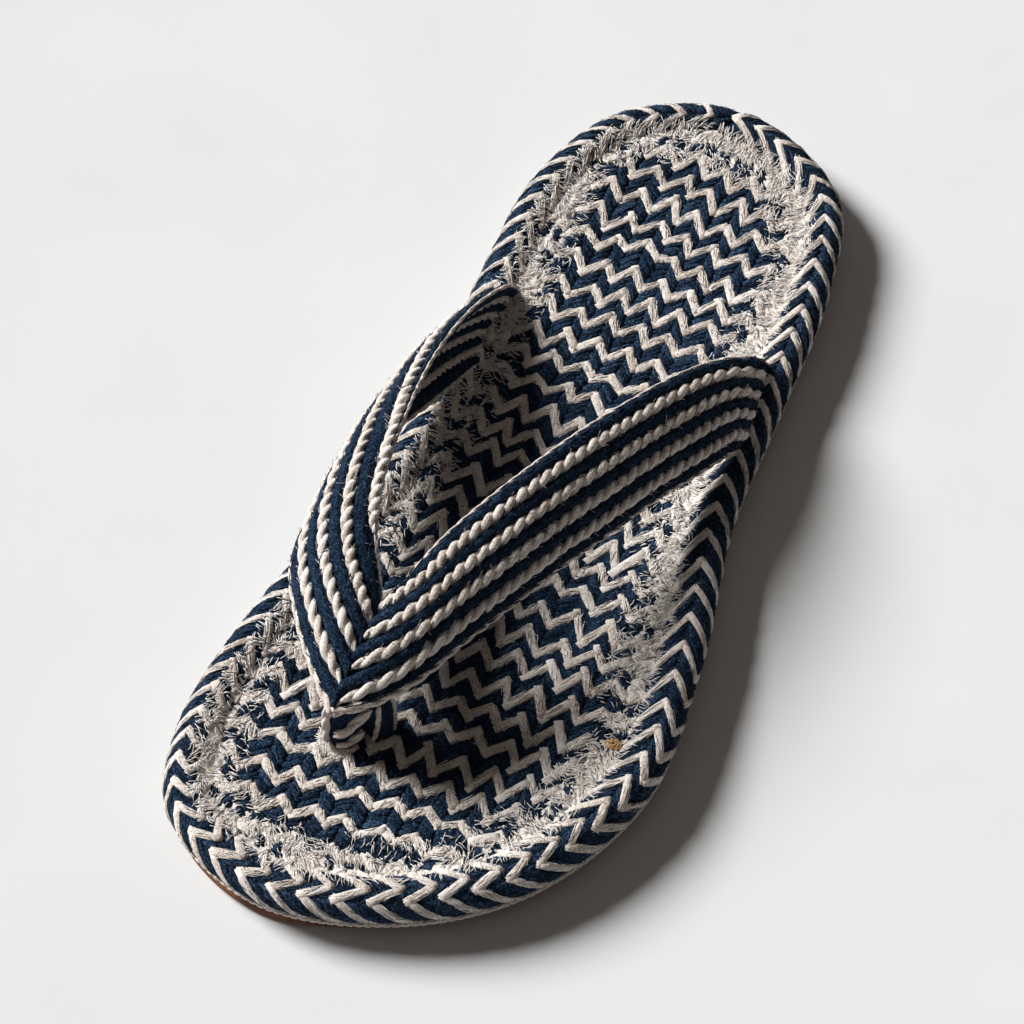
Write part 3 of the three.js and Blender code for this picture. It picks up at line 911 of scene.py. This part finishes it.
def row_shift(x, y):
    """Rows arch over the heel's middle and climb towards the outer side at the toe."""
    heel_side = np.where(x < SPINE_X - 7, eased(y / 40), eased((y - 62) / 24))
    aside = x - SPINE_X + ARCH_SIDE
    arch = -HEEL_ARCH * eased(np.abs(aside) / 9) * heel_side
    tilt = TOE_TILT * aside * eased((20 - y) / 60)
    return arch + tilt


def panel_corner(column, row):
    """A corner of a zigzag: even columns point to the heel, odd ones to the toe."""
    y = np.interp(row, ROW_LINE["row"], ROW_LINE["y"])
    x = np.interp(y, PEAK_LINE["y"], PEAK_LINE["x"]) + column * ZIGZAG_WIDTH / 2
    rise = ARM_RISE * (1 + 0.16 * lumpy(x, y, 37)) * (1 - 0.35 * eased((-88 - y) / 16))
    y = y - np.where(column % 2 == 0, 0, rise) + row_shift(x, y)
    x = x + 0.45 * lumpy(y, x, 24)
    y = y + 0.35 * lumpy(x, y, 17)
    return np.stack([x, y], -1)


def panel_arms(row_part):
    column, row = [g.ravel() for g in np.meshgrid(COLUMNS, ROWS, indexing="ij")]
    step = np.repeat(COLUMN_STEP, len(ROWS))[:, None] * (0.0, 1.0)
    first = panel_corner(column, row + row_part) + step + CORNER_WANDER[0]
    last = panel_corner(column + 1, row + row_part) + step + CORNER_WANDER[1]
    return first, last


# %% Worn cells
TORN_LESS = 4.5
TORN_LESS_AT = 268.0
TORN_LESS_REACH = 62.0
WHOLE = table("past chance", (-10, 0.12), (-7, 0.42), (-3.5, 0.68), (-0.5, 0.9), (2, 1.0))
LEFT = table("past share", (-4, 0.6), (0, 0.84), (4, 1.0))


def worn_cells():
    """Which cells of the weave are whole, and how much of each arm is left."""
    first, last = panel_arms(0.4)
    inset, a = inset_of((first + last) / 2)
    start, end = ring_span(a)
    past = inset - end + TORN_LESS * np.exp(-((a - TORN_LESS_AT) / TORN_LESS_REACH) ** 2)
    chance = np.interp(past, WHOLE["past"], WHOLE["chance"])
    whole = (rng.random(len(a)) < chance) & (inset > start + 2.2)
    left = np.interp(past, LEFT["past"], LEFT["share"]) * rng.uniform(0.9, 1.0, len(a))
    return whole, left[:, None]


CELLS, ARM_LEFT = worn_cells()
print("cells of the weave:", int(CELLS.sum()), "of", len(CELLS))

# %% The panel's yarn
PANEL_CREAM = 1.18


def lying_on(height_of):
    """A wrapping function for yarn that lies on a surface of the sole."""
    def wrap(flat, lift):
        return upright(flat, height_of(flat.reshape(-1, 2)).reshape(lift.shape) + lift)
    return wrap


def cell_arms(row_part):
    first, last = panel_arms(row_part)
    middle, half = (first + last) / 2, (last - first) / 2 * ARM_LEFT
    return (middle - half)[CELLS], (middle + half)[CELLS]


arms = {"navy": [cell_arms(part) for part in NAVY_ROWS], "cream": [cell_arms(CREAM_ROW)]}
strands = {"navy": {"reach": 0.25, "bulge": 0.14, "sink": 0.1, "stations": 5},
           "cream": {"reach": 1.0, "bulge": 0.1, "sink": -0.04}}
loose = {"navy": {"per_arm": 2, "half_width": 1.0, "height": 0.34, "stray": 0.9},
         "cream": {"per_arm": 9, "half_width": PANEL_CREAM * 1.05, "height": 0.5, "stray": 0.34}}
sizes = {"navy": {"half_width": 1.06, "half_height": 0.22, "sides": 5},
         "cream": {"half_width": PANEL_CREAM, "half_height": 0.36, "sides": 8, "end_size": 1.0}}
weave("panel", (lying_on(panel_height), "footbed"), arms, strands, loose, sizes)

# %% [markdown]
# The loose ends are wisps of fibre: thin arched tubes with both ends in the weave. Near the tape they
# point across the edge like a fringe, and further in they lie every way. They are drawn several
# times as thick as real fibres, so that they show in a picture of the whole slipper.
# The pale ends wear the cream cotton painted brighter, a painted stand-in for light scattered among them.

# %% Loose ends
LOOSE_CREAM = 13800
LOOSE_NAVY = 1000
LOOSE_STATIONS = 4
LOOSE_OUTWARD = 0.9
TUFT_SIZE = 3.4
TUFT_SPREAD = 0.7
TUFT_LEAST = -1.5
CELL_REACH = (2.3, 2.6)


def patchy(centre, keep):
    """Ends that lie on a tuft and beside the whole cells. Keep is the share left on top of a cell."""
    tuft = lumpy(centre[:, 0], centre[:, 1], TUFT_SIZE) + rng.normal(0, TUFT_SPREAD, len(centre))
    first, last = panel_arms(np.mean(NAVY_ROWS))
    cells = ((first + last) / 2)[CELLS]
    nearest = np.min(np.linalg.norm((centre[:, None] - cells[None]) / CELL_REACH, axis=2), axis=1)
    return (tuft > TUFT_LEAST) & ((nearest > 1) | (rng.random(len(centre)) < keep))


def loose_ends(count, spill, inner_share, keep):
    """Flat paths and lifts of ends whose centres are spread over the ring and a little past it."""
    a = rng.uniform(0, EDGE_LENGTH, count)
    start, end = ring_span(a)
    start, end = start - LOOSE_OUTWARD, end + spill
    place = rng.beta(1.0 + inner_share, 1.1, count)
    base, inward = edge(a)
    centre = base + inward * (start + (end - start) * place)[:, None]
    bare = patchy(centre, keep)
    inward, centre, place = inward[bare], centre[bare], place[bare]
    count = len(place)
    tufts = 0.75 * lumpy(centre[:, 0], centre[:, 1], TUFT_SIZE * 3)
    sway = tufts + rng.normal(0, 1, count) * (0.22 + 0.3 * place)
    along = np.stack([-inward[:, 1], inward[:, 0]], -1)
    direction = inward * np.cos(sway)[:, None] + along * np.sin(sway)[:, None]
    side = np.stack([-direction[:, 1], direction[:, 0]], -1)
    length = rng.uniform(1.2, 2.8, count)[:, None]
    t = np.linspace(-0.5, 0.5, LOOSE_STATIONS)[None]
    curl = rng.normal(0, 0.36, (count, 1)) * (t ** 2 - 0.08) * length
    flat = centre[:, None] + direction[:, None] * (t * length)[..., None] + side[:, None] * curl[..., None]
    lift = rng.uniform(0.02, 0.22, (count, 1)) * (1 - (2 * t) ** 2) + rng.uniform(0.25, 0.5, (count, 1))
    return flat, lift


SOLE_TOP = (lying_on(surface_height), "footbed")
cream_ends = loose_ends(LOOSE_CREAM, spill=2.4, inner_share=0.1, keep=0.2)
# Pale ends in the cream painted brighter, with a little more painted lightness on top.
lay_yarn("frayed_cream_ends", SOLE_TOP, [cream_ends], 0.13, 0.1, cream_painted_brighter, tone=0.05)
navy_ends = loose_ends(LOOSE_NAVY, spill=2.5, inner_share=1.2, keep=0.5)
lay_yarn("frayed_navy_ends", SOLE_TOP, [navy_ends], 0.14, 0.13, navy_yarn, tone=0.02)

# %% [markdown]
# One bit of straw-coloured yarn is knotted into the ring on the outer side of the forefoot.

# %% Straw knot
KNOT_PLACE = (42.0, -62.5)
KNOT_FIBRES = 44
KNOT_SIZE = 1.5
STRAW_TONES = [(0.3, "#9A6D42"), (0.5, "#C99C6C"), (0.66, "#EACFAE")]

straw = yarn_material("straw_coloured_cotton", STRAW_TONES, CREAM_PATCHES, 0.6, WHITE, 0.05)
turn = rng.uniform(0, 2 * np.pi, (KNOT_FIBRES, 1))
t = np.linspace(-1, 1, 5)[None]
radius = rng.uniform(0.15, 1.0, (KNOT_FIBRES, 1)) * KNOT_SIZE
sweep = turn + t * rng.uniform(0.4, 1.2, (KNOT_FIBRES, 1))
flat = np.stack([np.cos(sweep) * radius * 1.3, np.sin(sweep) * radius], -1) + KNOT_PLACE
lift = 0.45 * np.cos(np.pi / 2 * radius / KNOT_SIZE / 1.15) + 0.25 * (1 - t ** 2) + 0.3
lay_yarn("straw_knot", SOLE_TOP, [(flat, lift)], 0.22, 0.2, straw, sides=5)

# %% [markdown]
# ## The bands
#
# Each band is woven flat, with five navy ribs and four cream cords between them, then bent over the
# foot. A table gives its front and rear edges and how far its middle bulges. The band's surface is
# a rule again: a station along it, a share across it, and a lift from its middle layer. The navy
# body is one wrapped sheet with a rib for each stripe and a groove for each cord.

# %% The band surfaces
MEDIAL_ROWS = table(
    "front rear crown",
    ((-15.2, -94.0, 29.6), (-17.4, -67.0, 33.6), 2.0),
    ((-24.0, -86.4, 30.2), (-20.8, -60.8, 36.0), 3.0),
    ((-34.0, -76.0, 29.8), (-25.4, -54.0, 37.8), 3.2),
    ((-43.6, -62.4, 28.6), (-30.3, -44.2, 39.5), 3.0),
    ((-46.8, -46.0, 26.2), (-34.0, -31.0, 40.6), 4.4),
    ((-46.9, -27.0, 22.4), (-36.8, -17.0, 40.0), 5.4),
    ((-45.3, -9.6, 18.4), (-39.3, -4.0, 37.4), 5.6),
    ((-42.5, 3.6, 15.8), (-41.2, 10.0, 33.4), 6.2),
    ((-40.4, 12.5, 14.4), (-42.0, 24.0, 28.6), 6.2),
    ((-39.2, 18.8, 13.0), (-42.0, 36.0, 22.6), 4.8),
    ((-38.8, 22.8, 11.6), (-41.4, 46.0, 16.0), 2.6),
    ((-38.9, 24.6, 9.0), (-41.0, 51.2, 9.4), 0.8),
    ((-39.2, 25.2, 5.5), (-41.3, 52.2, 5.5), 0.4),
)
LATERAL_ROWS = table(
    "front rear crown",
    ((-15.8, -94.0, 29.6), (-17.8, -67.0, 33.6), 2.0),
    ((-9.3, -88.2, 30.0), (-16.2, -62.0, 36.3), 2.6),
    ((-4.2, -81.0, 30.0), (-14.8, -57.2, 37.5), 3.0),
    ((-0.8, -73.5, 30.0), (-13.5, -52.4, 38.4), 3.0),
    ((2.0, -64.0, 29.5), (-12.0, -46.0, 39.3), 3.0),
    ((6.5, -50.0, 28.0), (-8.2, -34.0, 40.0), 3.0),
    ((11.5, -33.0, 25.6), (-3.2, -19.8, 40.0), 3.0),
    ((17.0, -16.0, 22.3), (2.6, -3.0, 38.3), 3.0),
    ((22.6, 2.0, 18.8), (8.5, 13.5, 34.8), 3.0),
    ((27.5, 14.0, 16.4), (13.8, 28.5, 30.3), 2.6),
    ((30.6, 22.0, 14.9), (18.5, 40.6, 24.8), 2.0),
    ((32.2, 26.4, 13.6), (23.6, 50.0, 19.2), 1.4),
    ((32.6, 28.2, 11.4), (27.4, 55.6, 13.6), 0.8),
    ((32.2, 28.8, 8.8), (28.0, 56.6, 9.2), 0.4),
    ((31.8, 29.0, 5.5), (27.8, 56.8, 5.5), 0.2),
)
CORD_COUNT = 4
CORD_WIDTH = 2.9
STRIPE_WIDTH = 2.7
BAND_WIDTH = (CORD_COUNT + 1) * STRIPE_WIDTH + CORD_COUNT * CORD_WIDTH
ROW_SPLITS = 24


def curve_through(values, splits):
    """An open curve through rows of values, drawn out at its ends, with splits steps to a row."""
    longer = np.vstack([2 * values[:1] - values[1:2], values, 2 * values[-1:] - values[-2:-1]])
    t = np.arange(splits) / splits
    spans = [curve_piece(*longer[i:i + 4], t) for i in range(len(values) - 1)]
    return np.vstack([*spans, values[-1:]])


class Band:
    """The middle layer of one band. side is 1 where out is to the left of the way along, else -1."""

    def __init__(self, rows, side):
        self.front, self.rear = [curve_through(rows[name], ROW_SPLITS) for name in ("front", "rear")]
        crown_at = np.arange(len(rows["crown"])) * ROW_SPLITS
        self.crown = np.interp(np.arange(len(self.front)), crown_at, rows["crown"])
        middle = (self.front + self.rear) / 2
        self.at = run_of(middle)
        self.length = self.at[-1]
        self.width = np.linalg.norm(self.rear - self.front, axis=1)
        self.chord = unit(self.rear - self.front)
        self.out = unit(np.cross(self.chord, np.gradient(middle, axis=0)) * side)

    def place(self, station, across, lift):
        """Points and outward normals: millimetres along, a share across, and a lift."""
        parts = (self.front, self.rear, self.chord, self.out, self.crown, self.width)
        front, rear, chord, out, crown, width = [pick(station, self.at, part) for part in parts]
        bulge = 4 * crown * across * (1 - across)
        slope = 4 * crown * (1 - 2 * across) / width
        normal = unit(out - chord * slope[..., None])
        point = front + (rear - front) * across[..., None] + out * bulge[..., None]
        return point + normal * lift[..., None], normal


BANDS = {"medial": Band(MEDIAL_ROWS, 1), "lateral": Band(LATERAL_ROWS, -1)}
print("band lengths, mm:", [round(float(band.length), 1) for band in BANDS.values()])

# %% [markdown]
# Near the toe the stripes fan out: on the inner band they slide over its rear edge, so that only
# three cords reach the seam, and on the outer band the seam cuts them slantwise. A small table says
# about which share of the width they spread, and how much at some stations.

# %% The ribbed bodies
RIB_TOP = 1.5
RIB_BACK = 1.25
GROOVE = 0.3
FACE_STEPS = 66
STATION_STEP = 1.5
STRIPE_SPREAD = {
    "medial": {"about": 0.02, "stations": (0, 26, 60, 110), "spread": (1.3, 1.19, 1.15, 1.0)},
    "lateral": {"about": 0.49, "stations": (0, 8, 20), "spread": (1.36, 1.12, 1.0)},
}
STRIPE_PITCH = STRIPE_WIDTH + CORD_WIDTH
STRIPE_CENTRES = [(i * STRIPE_PITCH + STRIPE_WIDTH / 2) / BAND_WIDTH for i in range(CORD_COUNT + 1)]
CORD_CENTRES = [centre + STRIPE_PITCH / 2 / BAND_WIDTH for centre in STRIPE_CENTRES[:-1]]
RIB_REACH = (STRIPE_WIDTH / 2 - 0.05) / BAND_WIDTH
NAP_HEIGHT = 0.05
NAP_SIZE = 3.0
EDGE_CROWDING = 0.08


def spread_at(band_name, station):
    row = STRIPE_SPREAD[band_name]
    return row["about"], np.interp(station, row["stations"], row["spread"])


def rib(share):
    """1 in the middle of a stripe, 0 in the groove of a cord."""
    distance = np.min([np.abs(share - centre) for centre in STRIPE_CENTRES], axis=0)
    return np.sqrt(np.clip(1 - (distance / RIB_REACH) ** 4, 0, 1))


def band_section(v, station, band_name):
    """Share across and lift, once round the section: out over the face and back under it."""
    half = v <= 0.5
    across = np.where(half, 2 * v, 2 - 2 * v)
    even = (across - 0.5) * (1 - EDGE_CROWDING)
    across = 0.5 - 0.5 * np.cos(np.pi * across) * EDGE_CROWDING + even
    about, spread = spread_at(band_name, station)
    raised = rib(about + (across - about) / spread)
    edge_fall = np.sqrt(np.clip(1 - (np.abs(2 * across - 1)) ** 24, 0, 1))
    face = (GROOVE + (RIB_TOP - GROOVE) * raised) * edge_fall
    back = (GROOVE + (RIB_BACK - GROOVE) * raised) * edge_fall
    return across, np.where(half, face, -back)


def band_body(band_name):
    band = BANDS[band_name]

    def place(u, v):
        station = u * band.length
        across, lift = band_section(v, station, band_name)
        nap = NAP_HEIGHT * lumpy(station, across * band.width.mean(), NAP_SIZE)
        return band.place(station, across, lift + nap * np.sign(lift))[0]

    return sheet_piece(f"{band_name}_band_body", int(band.length / STATION_STEP), 2 * FACE_STEPS, place,
                       close_ends=True, uv_size=(band.length, 2 * BAND_WIDTH))


felted = yarn_material("navy_felted_cotton", NAVY_TONES, NAVY_PATCHES, 0.9, NAVY_SHEEN, 0.05, streaks=0.5)
for band_name in BANDS:
    finish(band_body(band_name), felted, "thong_straps")

# %% [markdown]
# ## Cords and selvedges
#
# The cords between the ribs have two soft plies each. On one band they turn to the left and on the
# other to the right, so the bands mirror each other at the seam. A ply is a helix about the cord's
# middle line, a little flattened because it was beaten down in the loom. Under the band flat pale
# yarns show between the ribs, and a thin pale yarn closes both edges. The one on the front edge
# swells towards the seam.

# %% Twisted cords
PLY_OFFSET = 0.64
PLY_PITCH = 8.0
PLY_WIDTH = 1.0
PLY_HEIGHT = 0.8
PLY_UNEVEN = 0.07
CORD_STEP = 0.55
CORD_LIFT = 0.62
CORD_TAPER = 6.0
CORD_START = {"medial": (1.0, 1.0, 1.0, 25.0), "lateral": (0.4, 0.4, 0.4, 0.4)}
TWIST = {"medial": 1, "lateral": -1}
YARN_STEP = 0.7


def ply_paths(place_at, start, end, pitch, offset, twist, step=YARN_STEP, plies=2, grow=None):
    """Plies that twist round a line. Grow says how their distance from it changes along the run."""
    station = np.arange(start, end, step)
    middle, normal = place_at(station)
    side = unit(np.cross(normal, np.gradient(middle, axis=0)))
    swing = offset * (grow(station - start)[:, None] if grow else 1)
    turns = [twist * 2 * np.pi * (station / pitch + i / plies)[:, None] for i in range(plies)]
    paths = [middle + (side * np.cos(turn) + normal * np.sin(turn)) * swing for turn in turns]
    return np.stack(paths), np.broadcast_to(normal, (plies, *normal.shape))


def band_line(band_name, share, lift, fanned=True):
    def place_at(station):
        about, spread = spread_at(band_name, station)
        across = about + (share - about) * spread if fanned else np.full_like(station, share)
        return BANDS[band_name].place(station, across, np.full_like(station, lift))
    return place_at


def pointed(run):
    """Cords start thin where the seam pinches them, and reach their full size within a few millimetres."""
    return 0.45 + 0.55 * eased(run / CORD_TAPER)


def strap_yarn(name, plies, width, height, tones, material=cream_yarn, sides=6):
    finish(tubes(name, *plies, width, height, tones, sides=sides), material, "thong_straps")


for band_name, band in BANDS.items():
    for i, share in enumerate(CORD_CENTRES):
        line = band_line(band_name, share, CORD_LIFT)
        plies = ply_paths(line, CORD_START[band_name][i], band.length - 1, PLY_PITCH, PLY_OFFSET,
                          TWIST[band_name], CORD_STEP, grow=pointed)
        run = CORD_STEP * np.arange(plies[0].shape[1])
        size = pointed(run) * (1 + PLY_UNEVEN * lumpy(run, 9.0 * i + 0 * run, 6.0))
        tones = rng.normal(0.0, 0.03, (len(plies[0]), 1))
        strap_yarn(f"{band_name}_cord_{i + 1}", plies, PLY_WIDTH * size, PLY_HEIGHT * size, tones, sides=9)

# %% Backs and selvedges
SELVEDGES = [
    {"edge": "front", "start": 0.2, "across": -0.012, "radius": 0.48, "offset": 0.3, "swell": 0.75},
    {"edge": "rear", "start": 0.5, "across": 1.006, "radius": 0.34, "offset": 0.18, "swell": 0.0},
]
SELVEDGE_PITCH = 9.0
SWELL_REACH = 24.0
BACK_START = 26.0
BACK_PITCH = 5.0
BACK_WIDTH = 0.7
BACK_HEIGHT = 0.4
for band_name, band in BANDS.items():
    lines = [band_line(band_name, share, -GROOVE - 0.25) for share in CORD_CENTRES]
    both = [ply_paths(line, BACK_START, band.length - 1, BACK_PITCH, 0.5, 1, step=1.1) for line in lines]
    plies = joined(both)
    tones = rng.normal(0, 0.04, (len(plies[0]), 1))
    strap_yarn(f"{band_name}_back_yarns", plies, BACK_WIDTH, BACK_HEIGHT, tones)
    for row in SELVEDGES:
        line = band_line(band_name, row["across"], 0.3, fanned=False)

        def swell(run, most=row["swell"]):
            return 1 + most * np.exp(-(run / SWELL_REACH) ** 2)

        plies = ply_paths(line, row["start"], band.length - 1, SELVEDGE_PITCH, row["offset"], 1,
                          grow=swell)
        size = row["radius"] * swell(YARN_STEP * np.arange(plies[0].shape[1]))
        strap_yarn(f"{band_name}_{row['edge']}_selvedge", plies, size, size, -0.02)

# %% [markdown]
# Felted ribs and soft cords are covered with short fibres. Those that lie on the ribs give them
# their grain, and a few fine hairs that stand off soften the outline of the bands.

# %% Fibres of the bands
RIB_FIBRES = 2600
HAIRS = {"cream": 1300, "navy": 700}
FIBRE_SPAN = 0.42


def band_fibres(band_name, shares, count, length, top, stand):
    """Short fibres on the lines at the given shares. Stand is how far their ends rise."""
    band = BANDS[band_name]
    station = rng.uniform(2, band.length - 4, (count, 1))
    share = rng.choice(shares, (count, 1))
    share = share + rng.uniform(-1, 1, (count, 1)) * STRIPE_WIDTH * FIBRE_SPAN / BAND_WIDTH
    t = np.linspace(0, 1, 4)[None]
    lean = rng.normal(0, 0.5, (count, 1))
    reach = length * rng.uniform(0.6, 1.3, (count, 1))
    station = station + t * reach * np.cos(lean)
    share = share + t * reach * np.sin(lean) / BAND_WIDTH
    about, spread = spread_at(band_name, station)
    across = np.clip(about + (share - about) * spread, 0.0, 1.0)
    lift = top + stand * rng.uniform(0.3, 1.0, (count, 1)) * t ** 1.5
    return band.place(station, across, lift)


for colour, material in (("cream", cream_yarn), ("navy", felted)):
    shares = CORD_CENTRES if colour == "cream" else STRIPE_CENTRES
    groups = [("hairs", HAIRS[colour] // 2, 1.6, RIB_TOP - 0.1, 0.9, 0.055)]
    if colour == "navy":
        groups.append(("fibres", RIB_FIBRES // 2, 2.2, RIB_TOP - 0.08, 0.08, 0.15))
    for kind, count, length, top, stand, radius in groups:
        fibres = joined([band_fibres(band_name, shares, count, length, top, stand) for band_name in BANDS])
        tones = rng.normal(0.02, 0.07, (len(fibres[0]), 1))
        strap_yarn(f"band_{colour}_{kind}", fibres, radius, radius, tones, material, sides=3)

# %% [markdown]
# ## The toe post
#
# Both bands run together over the first gap between the toes, where their ends are wrapped into a
# flat post that goes down through the sole. Its broad face looks towards the little toe.

# %% Post body
POST_CENTRE = np.array([-13.0, -86.4])
POST_TURN = math.radians(46.2)
POST_LENGTH = 16.4
POST_THICKNESS = 7.0
POST_LEVELS = table("height size back",
                    (4.5, 1.0, 0.0), (20.0, 1.0, 0.0), (27.0, 0.92, 0.8), (31.0, 0.76, 2.4))
POST_RIBS = 14
CLEFT_TURN = 0.258
CLEFT_WIDTH = 0.014
CLEFT_DEPTH = 3.4
CLEFT_TOP = 27
CLEFT_FADE = 4


def on_post(turn, height, lift):
    """Points round the post: a turn of 0 is its left end seen from the toe, a quarter its broad face."""
    size, back = [np.interp(height, POST_LEVELS["height"], POST_LEVELS[name]) for name in ("size", "back")]
    radius = POST_THICKNESS / 2 * size + lift
    straight = (POST_LENGTH - POST_THICKNESS) / 2 * size
    angle = 2 * np.pi * turn
    along = -radius * np.cos(angle) - np.tanh(2.5 * np.cos(angle)) * straight
    across = back - radius * np.sin(angle)
    x = POST_CENTRE[0] + along * math.cos(POST_TURN) - across * math.sin(POST_TURN)
    y = POST_CENTRE[1] + along * math.sin(POST_TURN) + across * math.cos(POST_TURN)
    return np.stack([x, y, height], -1)


def place_post(u, v):
    low, high = POST_LEVELS["height"][[0, -1]]
    height = low + v * (high - low)
    ribs = 0.35 * np.abs(np.sin(np.pi * POST_RIBS * u)) - 0.3
    cleft = CLEFT_DEPTH * np.exp(-((u - CLEFT_TURN) / CLEFT_WIDTH) ** 2)
    return on_post(u, height, ribs - cleft * eased((CLEFT_TOP - height) / CLEFT_FADE))


post = sheet_piece("toe_post_body", 112, 40, place_post, seams="u", close_ends=True, uv_size=(40, 26))
finish(post, felted, "thong_straps")

# %% [markdown]
# A wrap is a cord of three plies whose middle line is a curve on the post. A table gives, for each,
# four turns round the post, the heights there and the cord's radius.

# %% Cords of the post
POST_CORDS = [
    ("edge_strand", (0.07, 0.02, 0.0, 0.0), (30.0, 22.0, 15.5, 10.2), 1.25),
    ("upper_wrap", (0.27, 0.22, 0.18, 0.11), (24.8, 21.0, 18.8, 17.6), 1.35),
    ("middle_wrap", (0.246, 0.22, 0.19, 0.12), (17.2, 14.7, 13.5, 13.0), 1.05),
    ("base_loop", (0.03, 0.1, 0.19, 0.235), (13.2, 11.0, 10.2, 11.0), 1.1),
    ("face_strand", (0.30, 0.29, 0.28, 0.268), (25.0, 20.0, 15.0, 11.2), 0.7),
    ("end_strand", (0.42, 0.46, 0.46, 0.40), (28.5, 21.0, 15.0, 10.4), 0.65),
    ("back_strand", (0.75, 0.75, 0.75, 0.75), (29.0, 21.0, 15.0, 9.8), 0.8),
]
POST_SPLITS = 11
POST_STEP = 0.5
POST_TAPER = 2.2
END_RUN = 0.3
END_SIZE = 0.35
for name, turns, heights, radius in POST_CORDS:
    curve = curve_through(np.stack([turns, heights], -1), POST_SPLITS)[:-1]
    middle = on_post(*curve.T, 0.15)
    outward = on_post(*curve.T, 1.15) - middle
    at = run_of(middle)

    def along_post(station, at=at, middle=middle, outward=outward):
        return pick(station, at, middle), unit(pick(station, at, outward))

    plies = ply_paths(along_post, 0, at[-1], radius * 15, radius * 0.42, 1, step=POST_STEP, plies=3)
    run = POST_STEP * np.arange(plies[0].shape[1])
    nearer_end = np.minimum(run, run[-1] - run) + END_RUN
    size = radius * 0.62 * (END_SIZE + (1 - END_SIZE) * eased(nearer_end / POST_TAPER))
    strap_yarn(f"post_{name}", plies, size, size, rng.normal(0, 0.04, (3, 1)), sides=7)

# %% Frayed foot of the post
FOOT_FIBRES = 240
turn = rng.uniform(-0.14, 0.17, (FOOT_FIBRES, 1))
foot = on_post(turn, np.full_like(turn, 10.0), rng.uniform(0.2, 2.2, (FOOT_FIBRES, 1)))[..., :2]
sway = rng.normal(0, 1.0, (FOOT_FIBRES, 1)) - np.pi / 2
t = np.linspace(-0.5, 0.5, 4)[None]
length = rng.uniform(1.4, 3.2, (FOOT_FIBRES, 1))
flat = foot + np.stack([np.cos(sway) * t * length, np.sin(sway) * t * length], -1)
lift = rng.uniform(0.1, 0.5, (FOOT_FIBRES, 1)) * (1 - (2 * t) ** 2) + 0.4
lay_yarn("post_frayed_ends", SOLE_TOP, [(flat, lift)], 0.12, 0.11, cream_painted_brighter)

# %% [markdown]
# ## Floor, light and camera
#
# The floor is a pale matt board. One wide, soft lamp stands to the left and behind, about a third
# of the way up the sky, and a dim even sky fills the shadows. A lamp that covers twenty degrees
# gives a shadow that is crisp at the sole and melts away from it.

# %% Floor
FLOOR_SIZE = 6000.0
CLOUD_SIZE = 60.0
BOARD_TONES = [(0.3, "#E8EAEC"), (0.7, "#ECEEF0")]


def floor_material():
    material, tree, shader = new_material("pale_matt_board", Roughness=0.95, Specular_IOR_Level=0.1)
    place = add(tree, "TexCoord").outputs["Object"]
    cloud = add(tree, "TexNoise", {"Vector": place, "Scale": 1 / (CLOUD_SIZE * MM), "Detail": 5.0})
    tone = add(tree, "ValToRGB", {"Fac": cloud.outputs["Fac"]}, stops=BOARD_TONES)
    tree.links.new(tone.outputs[0], shader.inputs["Base Color"])
    return material


bm = bmesh.new()
bmesh.ops.create_grid(bm, x_segments=1, y_segments=1, size=FLOOR_SIZE / 2 * MM)
floor = object_from(bm, "floor")
floor.data.materials.append(floor_material())
floor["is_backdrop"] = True

# %% Light
LIGHT_WAY = (-20.0, 1.6)
LIGHT_ELEVATION = 32.0
LIGHT_SPREAD = 22.0
LIGHT_COLOUR = (1.0, 0.988, 0.97)
SUN_STRENGTH = 5.5
SKY_COLOUR = (1.0, 0.9, 0.82, 1.0)
SKY_STRENGTH = 0.078

flat_way = Vector((*LIGHT_WAY, 0)).normalized() * math.cos(math.radians(LIGHT_ELEVATION))
to_light = flat_way + Vector((0, 0, math.sin(math.radians(LIGHT_ELEVATION))))
sun_data = bpy.data.lights.new("window_light", "SUN")
sun_data.energy = SUN_STRENGTH
sun_data.angle = math.radians(LIGHT_SPREAD)
sun_data.color = LIGHT_COLOUR
sun = shown("window_light", sun_data)
sun.rotation_euler = to_light.to_track_quat("Z", "Y").to_euler()

world = bpy.data.worlds.new("soft_sky")
bpy.context.scene.world = world
world.use_nodes = True
sky = world.node_tree.nodes["Background"]
sky.inputs["Color"].default_value = SKY_COLOUR
sky.inputs["Strength"].default_value = SKY_STRENGTH
bpy.context.scene.view_settings.view_transform = "Standard"

# %% Camera
CAMERA_PLACE = Vector((177.565, -382.594, 614.853))
CAMERA_TARGET = Vector((-10.6, -12.0, 8.0))
CAMERA_LENS = 103.0

camera_data = bpy.data.cameras.new("camera")
camera_data.lens = CAMERA_LENS
camera_data.sensor_width = 36.0
camera_data.clip_start = 0.01
camera = shown("camera", camera_data)
camera.location = CAMERA_PLACE * MM
camera.rotation_euler = (CAMERA_TARGET - CAMERA_PLACE).to_track_quat("-Z", "Y").to_euler()
bpy.context.scene.camera = camera

# %% Sizes and the last line
visual_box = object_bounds()
sizes = {"cad": [list(v) for v in cad_box], "visual": [list(v) for v in visual_box]}
print("visual box, mm:", [[round(c / MM, 1) for c in v] for v in visual_box])
